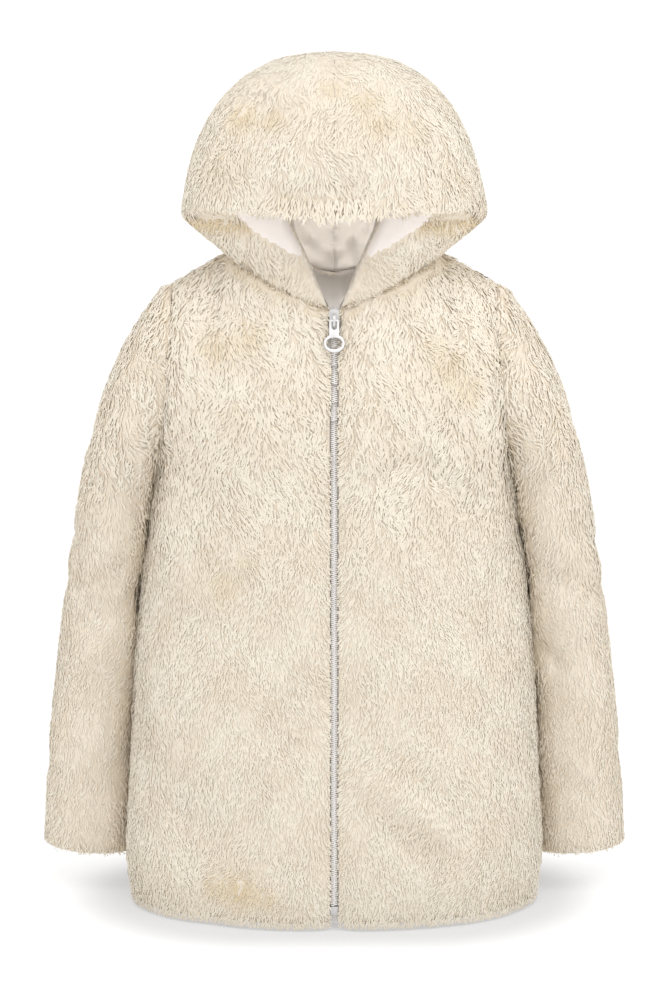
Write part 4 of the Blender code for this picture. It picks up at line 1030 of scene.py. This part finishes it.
liningFolds = (
    # from x, from z, to x, to z, half width, height towards the viewer
    (-0.034, 0.034, -0.020, 0.010, 0.0055, 0.0070),
    (-0.020, 0.010, -0.004, 0.002, 0.0050, 0.0065),
    (0.029, 0.032, 0.017, 0.010, 0.0052, 0.0068),
    (0.017, 0.010, 0.001, 0.001, 0.0048, 0.0060),
    (-0.002, 0.030, -0.004, 0.012, 0.0030, -0.0030),
    (0.062, 0.040, 0.032, -0.008, 0.0085, 0.0045),
    (-0.066, 0.044, -0.036, -0.008, 0.0085, 0.0045),
    (-0.050, 0.110, -0.030, 0.050, 0.0110, 0.0040),
    (0.046, 0.120, 0.036, 0.055, 0.0110, 0.0040),
    (0.004, 0.130, -0.002, 0.060, 0.0090, 0.0030),
    (0.006, -0.014, 0.014, -0.060, 0.0050, 0.0034),
    (-0.016, -0.014, -0.008, -0.060, 0.0050, 0.0030),
    (-0.050, -0.012, -0.058, -0.070, 0.0080, 0.0035),
    (0.048, -0.010, 0.052, -0.070, 0.0080, 0.0035),
)


lining = {
    "behindFrom": 0.0, "behindTo": 0.04,  # it is folded at the back only
    "ripple": 0.0011, "rippleSize": 0.060, "pucker": 0.0004, "puckerSize": 0.022,
    "edge": 0.007,  # the folds fade this near a border
    "seamHalf": 0.002,  # but run on over the middle seam
    "hollow": (0.0, -0.02, 0.06),  # the middle of the hood's inside, which its folds rise towards
    "joinHalf": 0.0003, "join": 0.1,  # the halves meet
}


def foldHeight(x, z):
    total = np.zeros(len(x))
    here = np.stack([x, z], axis=1)
    for x0, z0, x1, z1, halfWidth, height in liningFolds:
        start, run = np.array((x0, z0)), np.array((x1 - x0, z1 - z0))
        share = (here - start) @ run / (run @ run)
        away = np.linalg.norm(here - start - np.clip(share, 0, 1)[:, None] * run, axis=1) / halfWidth
        total += height * np.exp(-away ** 2)
    return total


def makeLining(node):
    wall = refine(refine(readWall(node)))
    points = wall["points"]
    behind = smoothStep(lining["behindFrom"], lining["behindTo"], points[:, 1])
    height = behind * foldHeight(points[:, 0], points[:, 2])
    height += lining["ripple"] * (1 + waves(points, lining["rippleSize"], 31)) * behind
    height += lining["pucker"] * (1 + waves(points, lining["puckerSize"], 32))
    border = borderPoints(wall)
    border = border[np.abs(border[:, 0]) > lining["seamHalf"]]
    height *= smoothStep(0.0, lining["edge"], distanceTo(border, points))
    inward = np.tile((0.0, -1.0, 0.0), (len(points), 1))
    if node.startswith("hood"):
        inward = unit(np.array(lining["hollow"]) - points)
    points = points + inward * height[:, None]
    seam = np.abs(points[:, 0]) < lining["joinHalf"]
    points[seam, 0] *= lining["join"]
    item = addObject(node + "_satin", fromArrays(node + "_satin", points, wall["tris"]), (satin,))
    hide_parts(node)


for node in ("hood_lining_left", "hood_lining_right", "back_lining"):
    makeLining(node)
print("linings made")


# the zip

zipFastener = {
    "pitch": 0.00150, "toothWidth": 0.00118, "reach": 0.0026, "shank": 0.0014, "head": 0.0004, "overlap": 0.0005,
    "thickness": 0.0022, "proud": 0.0012, "start": 0.0008, "spare": 0.001,
    "profile": ((-0.5, 0.0), (-0.42, -0.72), (0.0, -1.0), (0.42, -0.72), (0.5, 0.0), (0.0, 0.35)),
}


def chainLine():
    # the chain's front and back faces by height, from its solid
    points = np.array([v.co for v in frame["nodes"]["zip_chain"].data.vertices])
    heights = np.unique(np.round(points[:, 2], 4))
    rows = [points[np.abs(points[:, 2] - h) < 2e-4][:, 1] for h in heights]
    return heights, np.array([row.min() for row in rows]), np.array([row.max() for row in rows])


def makeTeeth():
    # one tooth after another from either side, each a bar with a smaller foot and tip
    heights, front, back = chainLine()
    count = int((heights[-1] - heights[0] - zipFastener["spare"]) / zipFastener["pitch"])
    bar = ((zipFastener["reach"], 0.80), (zipFastener["shank"], 1.0), (zipFastener["head"], 1.0),
           (-zipFastener["overlap"], 0.62))
    profile = zipFastener["profile"]
    n = len(profile)
    verts, tris = [], []
    for k in range(count * 2):
        side = 1 if k % 2 else -1
        z = heights[0] + zipFastener["start"] + k * zipFastener["pitch"] / 2
        y = np.interp(z, heights, (front + back) / 2) - zipFastener["proud"]
        base = len(verts)
        for x, size in bar:
            for up, out in profile:
                verts.append((side * x, y + out * size * zipFastener["thickness"] / 2,
                              z + up * size * zipFastener["toothWidth"]))
        for ring in range(len(bar) - 1):
            for i in range(n):
                a, b = base + ring * n + i, base + ring * n + (i + 1) % n
                tris += [(a, b, b + n), (a, b + n, a + n)]
        foot, tip = base, base + (len(bar) - 1) * n
        tris += [(foot, foot + i, foot + i + 1) for i in range(1, n - 1)]
        tris += [(tip, tip + i + 1, tip + i) for i in range(1, n - 1)]
    verts, tris = np.array(verts), np.array(tris)
    mesh = fromArrays("zip_teeth", verts, tris)
    shape = bmesh.new()
    shape.from_mesh(mesh)
    bmesh.ops.recalc_face_normals(shape, faces=shape.faces[:])
    shape.to_mesh(mesh)
    shape.free()
    item = addObject("zip_teeth", mesh, (coilTeeth,))
    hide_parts("zip_chain")


rounding = {"flat": 2, "hard": 35, "sharp": 50, "segments": 2, "profile": 0.7}  # the first three in degrees


def softened(node, body, width):
    # a hard piece of the zip with its edges rounded
    shape = bmesh.new()
    shape.from_mesh(frame["nodes"][node].data)
    bmesh.ops.remove_doubles(shape, verts=shape.verts, dist=walls["weld"])
    bmesh.ops.dissolve_limit(shape, angle_limit=math.radians(rounding["flat"]), verts=shape.verts, edges=shape.edges)
    hard = [e for e in shape.edges if e.calc_face_angle(0) > math.radians(rounding["hard"])]
    bmesh.ops.bevel(shape, geom=hard, offset=width, segments=rounding["segments"], profile=rounding["profile"],
                    affect="EDGES", clamp_overlap=True)
    bmesh.ops.triangulate(shape, faces=shape.faces[:])
    mesh = bpy.data.meshes.new(node + "_finished")
    shape.to_mesh(mesh)
    shape.free()
    mesh.shade_smooth()
    mesh.set_sharp_from_angle(angle=math.radians(rounding["sharp"]))
    item = addObject(node + "_finished", mesh, (paleMetal,), body)
    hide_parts(node)


makeTeeth()
softened("zip_slider", "garment", 0.00035)
softened("zip_pull", "zip_pull", 0.00030)
softened("zip_box", "garment", 0.00040)
for node in ("zip_tape_left", "zip_tape_right"):
    for slotPlace in frame["nodes"][node].material_slots:
        slotPlace.material = zipTape
print("zip made")


# floor, light and camera

stage = {
    "floorHeight": -0.5165, "floorSize": 80.0, "floorShade": 0.30, "floorGlow": 0.78,
    # painted contact shadow under the hem: the floor's glow is lowered close to it
    "contactShade": 0.31, "contactHalf": 0.061, "contactRadius": 0.1045,  # close to the hem the floor glows less
    "contactFrom": 0.068, "contactWhole": 0.006,
    "worldLight": 0.69, "worldSeen": 1.1,
}
lamps = (
    # name, kind, energy, place, more
    ("top", "SUN", 1.10, (0.15, -0.60, 1.1), {"angle": math.radians(50)}),
    ("front", "AREA", 0.75, (0.15, -1.0, 0.36), {"size": 0.6}),
    ("left", "AREA", 1.65, (0.85, -0.40, 0.42), {"size": 0.5}),
    ("right", "AREA", 1.65, (-0.85, -0.40, 0.42), {"size": 0.5}),
    ("hoodFill", "POINT", 0.078, (0.012, 0.052, 0.098), {"shadow_soft_size": 0.010}),
    ("neckFill", "POINT", 0.013, (0.002, 0.032, -0.052), {"shadow_soft_size": 0.010}),
)
lampTarget = (0, 0, -0.2)


def addLight(name, kind, energy, place, more):
    light = bpy.data.lights.new(name, kind)
    light.energy = energy
    for key, value in more.items():
        setattr(light, key, value)
    lamp = bpy.data.objects.new(name, light)
    lamp.location = place
    lamp.visible_camera = False
    lamp.rotation_euler = (Vector(lampTarget) - Vector(place)).to_track_quat("-Z", "Y").to_euler()
    bpy.context.scene.collection.objects.link(lamp)


def makeFloor():
    bpy.ops.mesh.primitive_plane_add(size=stage["floorSize"], location=(0, 0, stage["floorHeight"]))
    floor = bpy.context.object
    floor.name = "floor"
    material, tree, shader = newMaterial("paleFloor", (stage["floorShade"],) * 3, 0.9, **{
        "Specular IOR Level": 0.0, "Emission Strength": 1.0})
    place = addNode(tree, "SeparateXYZ", {0: addNode(tree, "TexCoord").outputs["Object"]})
    # painted contact shadow: the glow drops within a rounded outline round the hem
    beyond = math2(tree, "SUBTRACT", math2(tree, "ABSOLUTE", place.outputs[0], 0.0), stage["contactHalf"])
    flat = addNode(tree, "CombineXYZ", {0: math2(tree, "MAXIMUM", beyond, 0.0), 1: place.outputs[1]})
    away = addNode(tree, "VectorMath", {0: flat.outputs[0]}, operation="LENGTH").outputs["Value"]
    away = math2(tree, "SUBTRACT", away, stage["contactRadius"])
    near = addNode(tree, "MapRange", {0: away, 1: stage["contactFrom"], 2: stage["contactWhole"]},
                   interpolation_type="SMOOTHSTEP").outputs[0]
    glow = math2(tree, "SUBTRACT", stage["floorGlow"], math2(tree, "MULTIPLY", near, stage["contactShade"]))
    grey = addNode(tree, "CombineColor", {0: glow, 1: glow, 2: glow})
    tree.links.new(grey.outputs[0], shader.inputs["Emission Color"])
    floor.data.materials.append(material)


def makeWorld():
    # plain white, seen a little brighter than it lights
    world = bpy.data.worlds.new("studio")
    world.use_nodes = True
    tree = world.node_tree
    around = tree.nodes["Background"]
    around.inputs["Color"].default_value = (1, 1, 1, 1)
    seen = addNode(tree, "LightPath").outputs["Is Camera Ray"]
    lift = math2(tree, "MULTIPLY", seen, stage["worldSeen"] - stage["worldLight"])
    tree.links.new(math2(tree, "ADD", lift, stage["worldLight"]), around.inputs["Strength"])
    bpy.context.scene.world = world


view = {"place": (0.0014, -2.4, 0.19), "target": (0.0014, 0.0, -0.1936), "lens": 108.5, "sensor": 36, "far": 30}


def makeCamera():
    data = bpy.data.cameras.new("camera")
    data.sensor_width = view["sensor"]
    data.lens = view["lens"]
    data.clip_end = view["far"]
    item = bpy.data.objects.new("camera", data)
    item.location = view["place"]
    item.rotation_euler = (Vector(view["target"]) - Vector(view["place"])).to_track_quat("-Z", "Y").to_euler()
    bpy.context.scene.collection.objects.link(item)
    bpy.context.scene.camera = item


makeFloor()
makeWorld()
for lamp in lamps:
    addLight(*lamp)
bpy.context.scene.view_settings.view_transform = "Standard"
makeCamera()
faces = sum(len(item.data.polygons) for item in bpy.data.objects if item.type == "MESH")
print("stage and camera made;", faces, "faces in all")
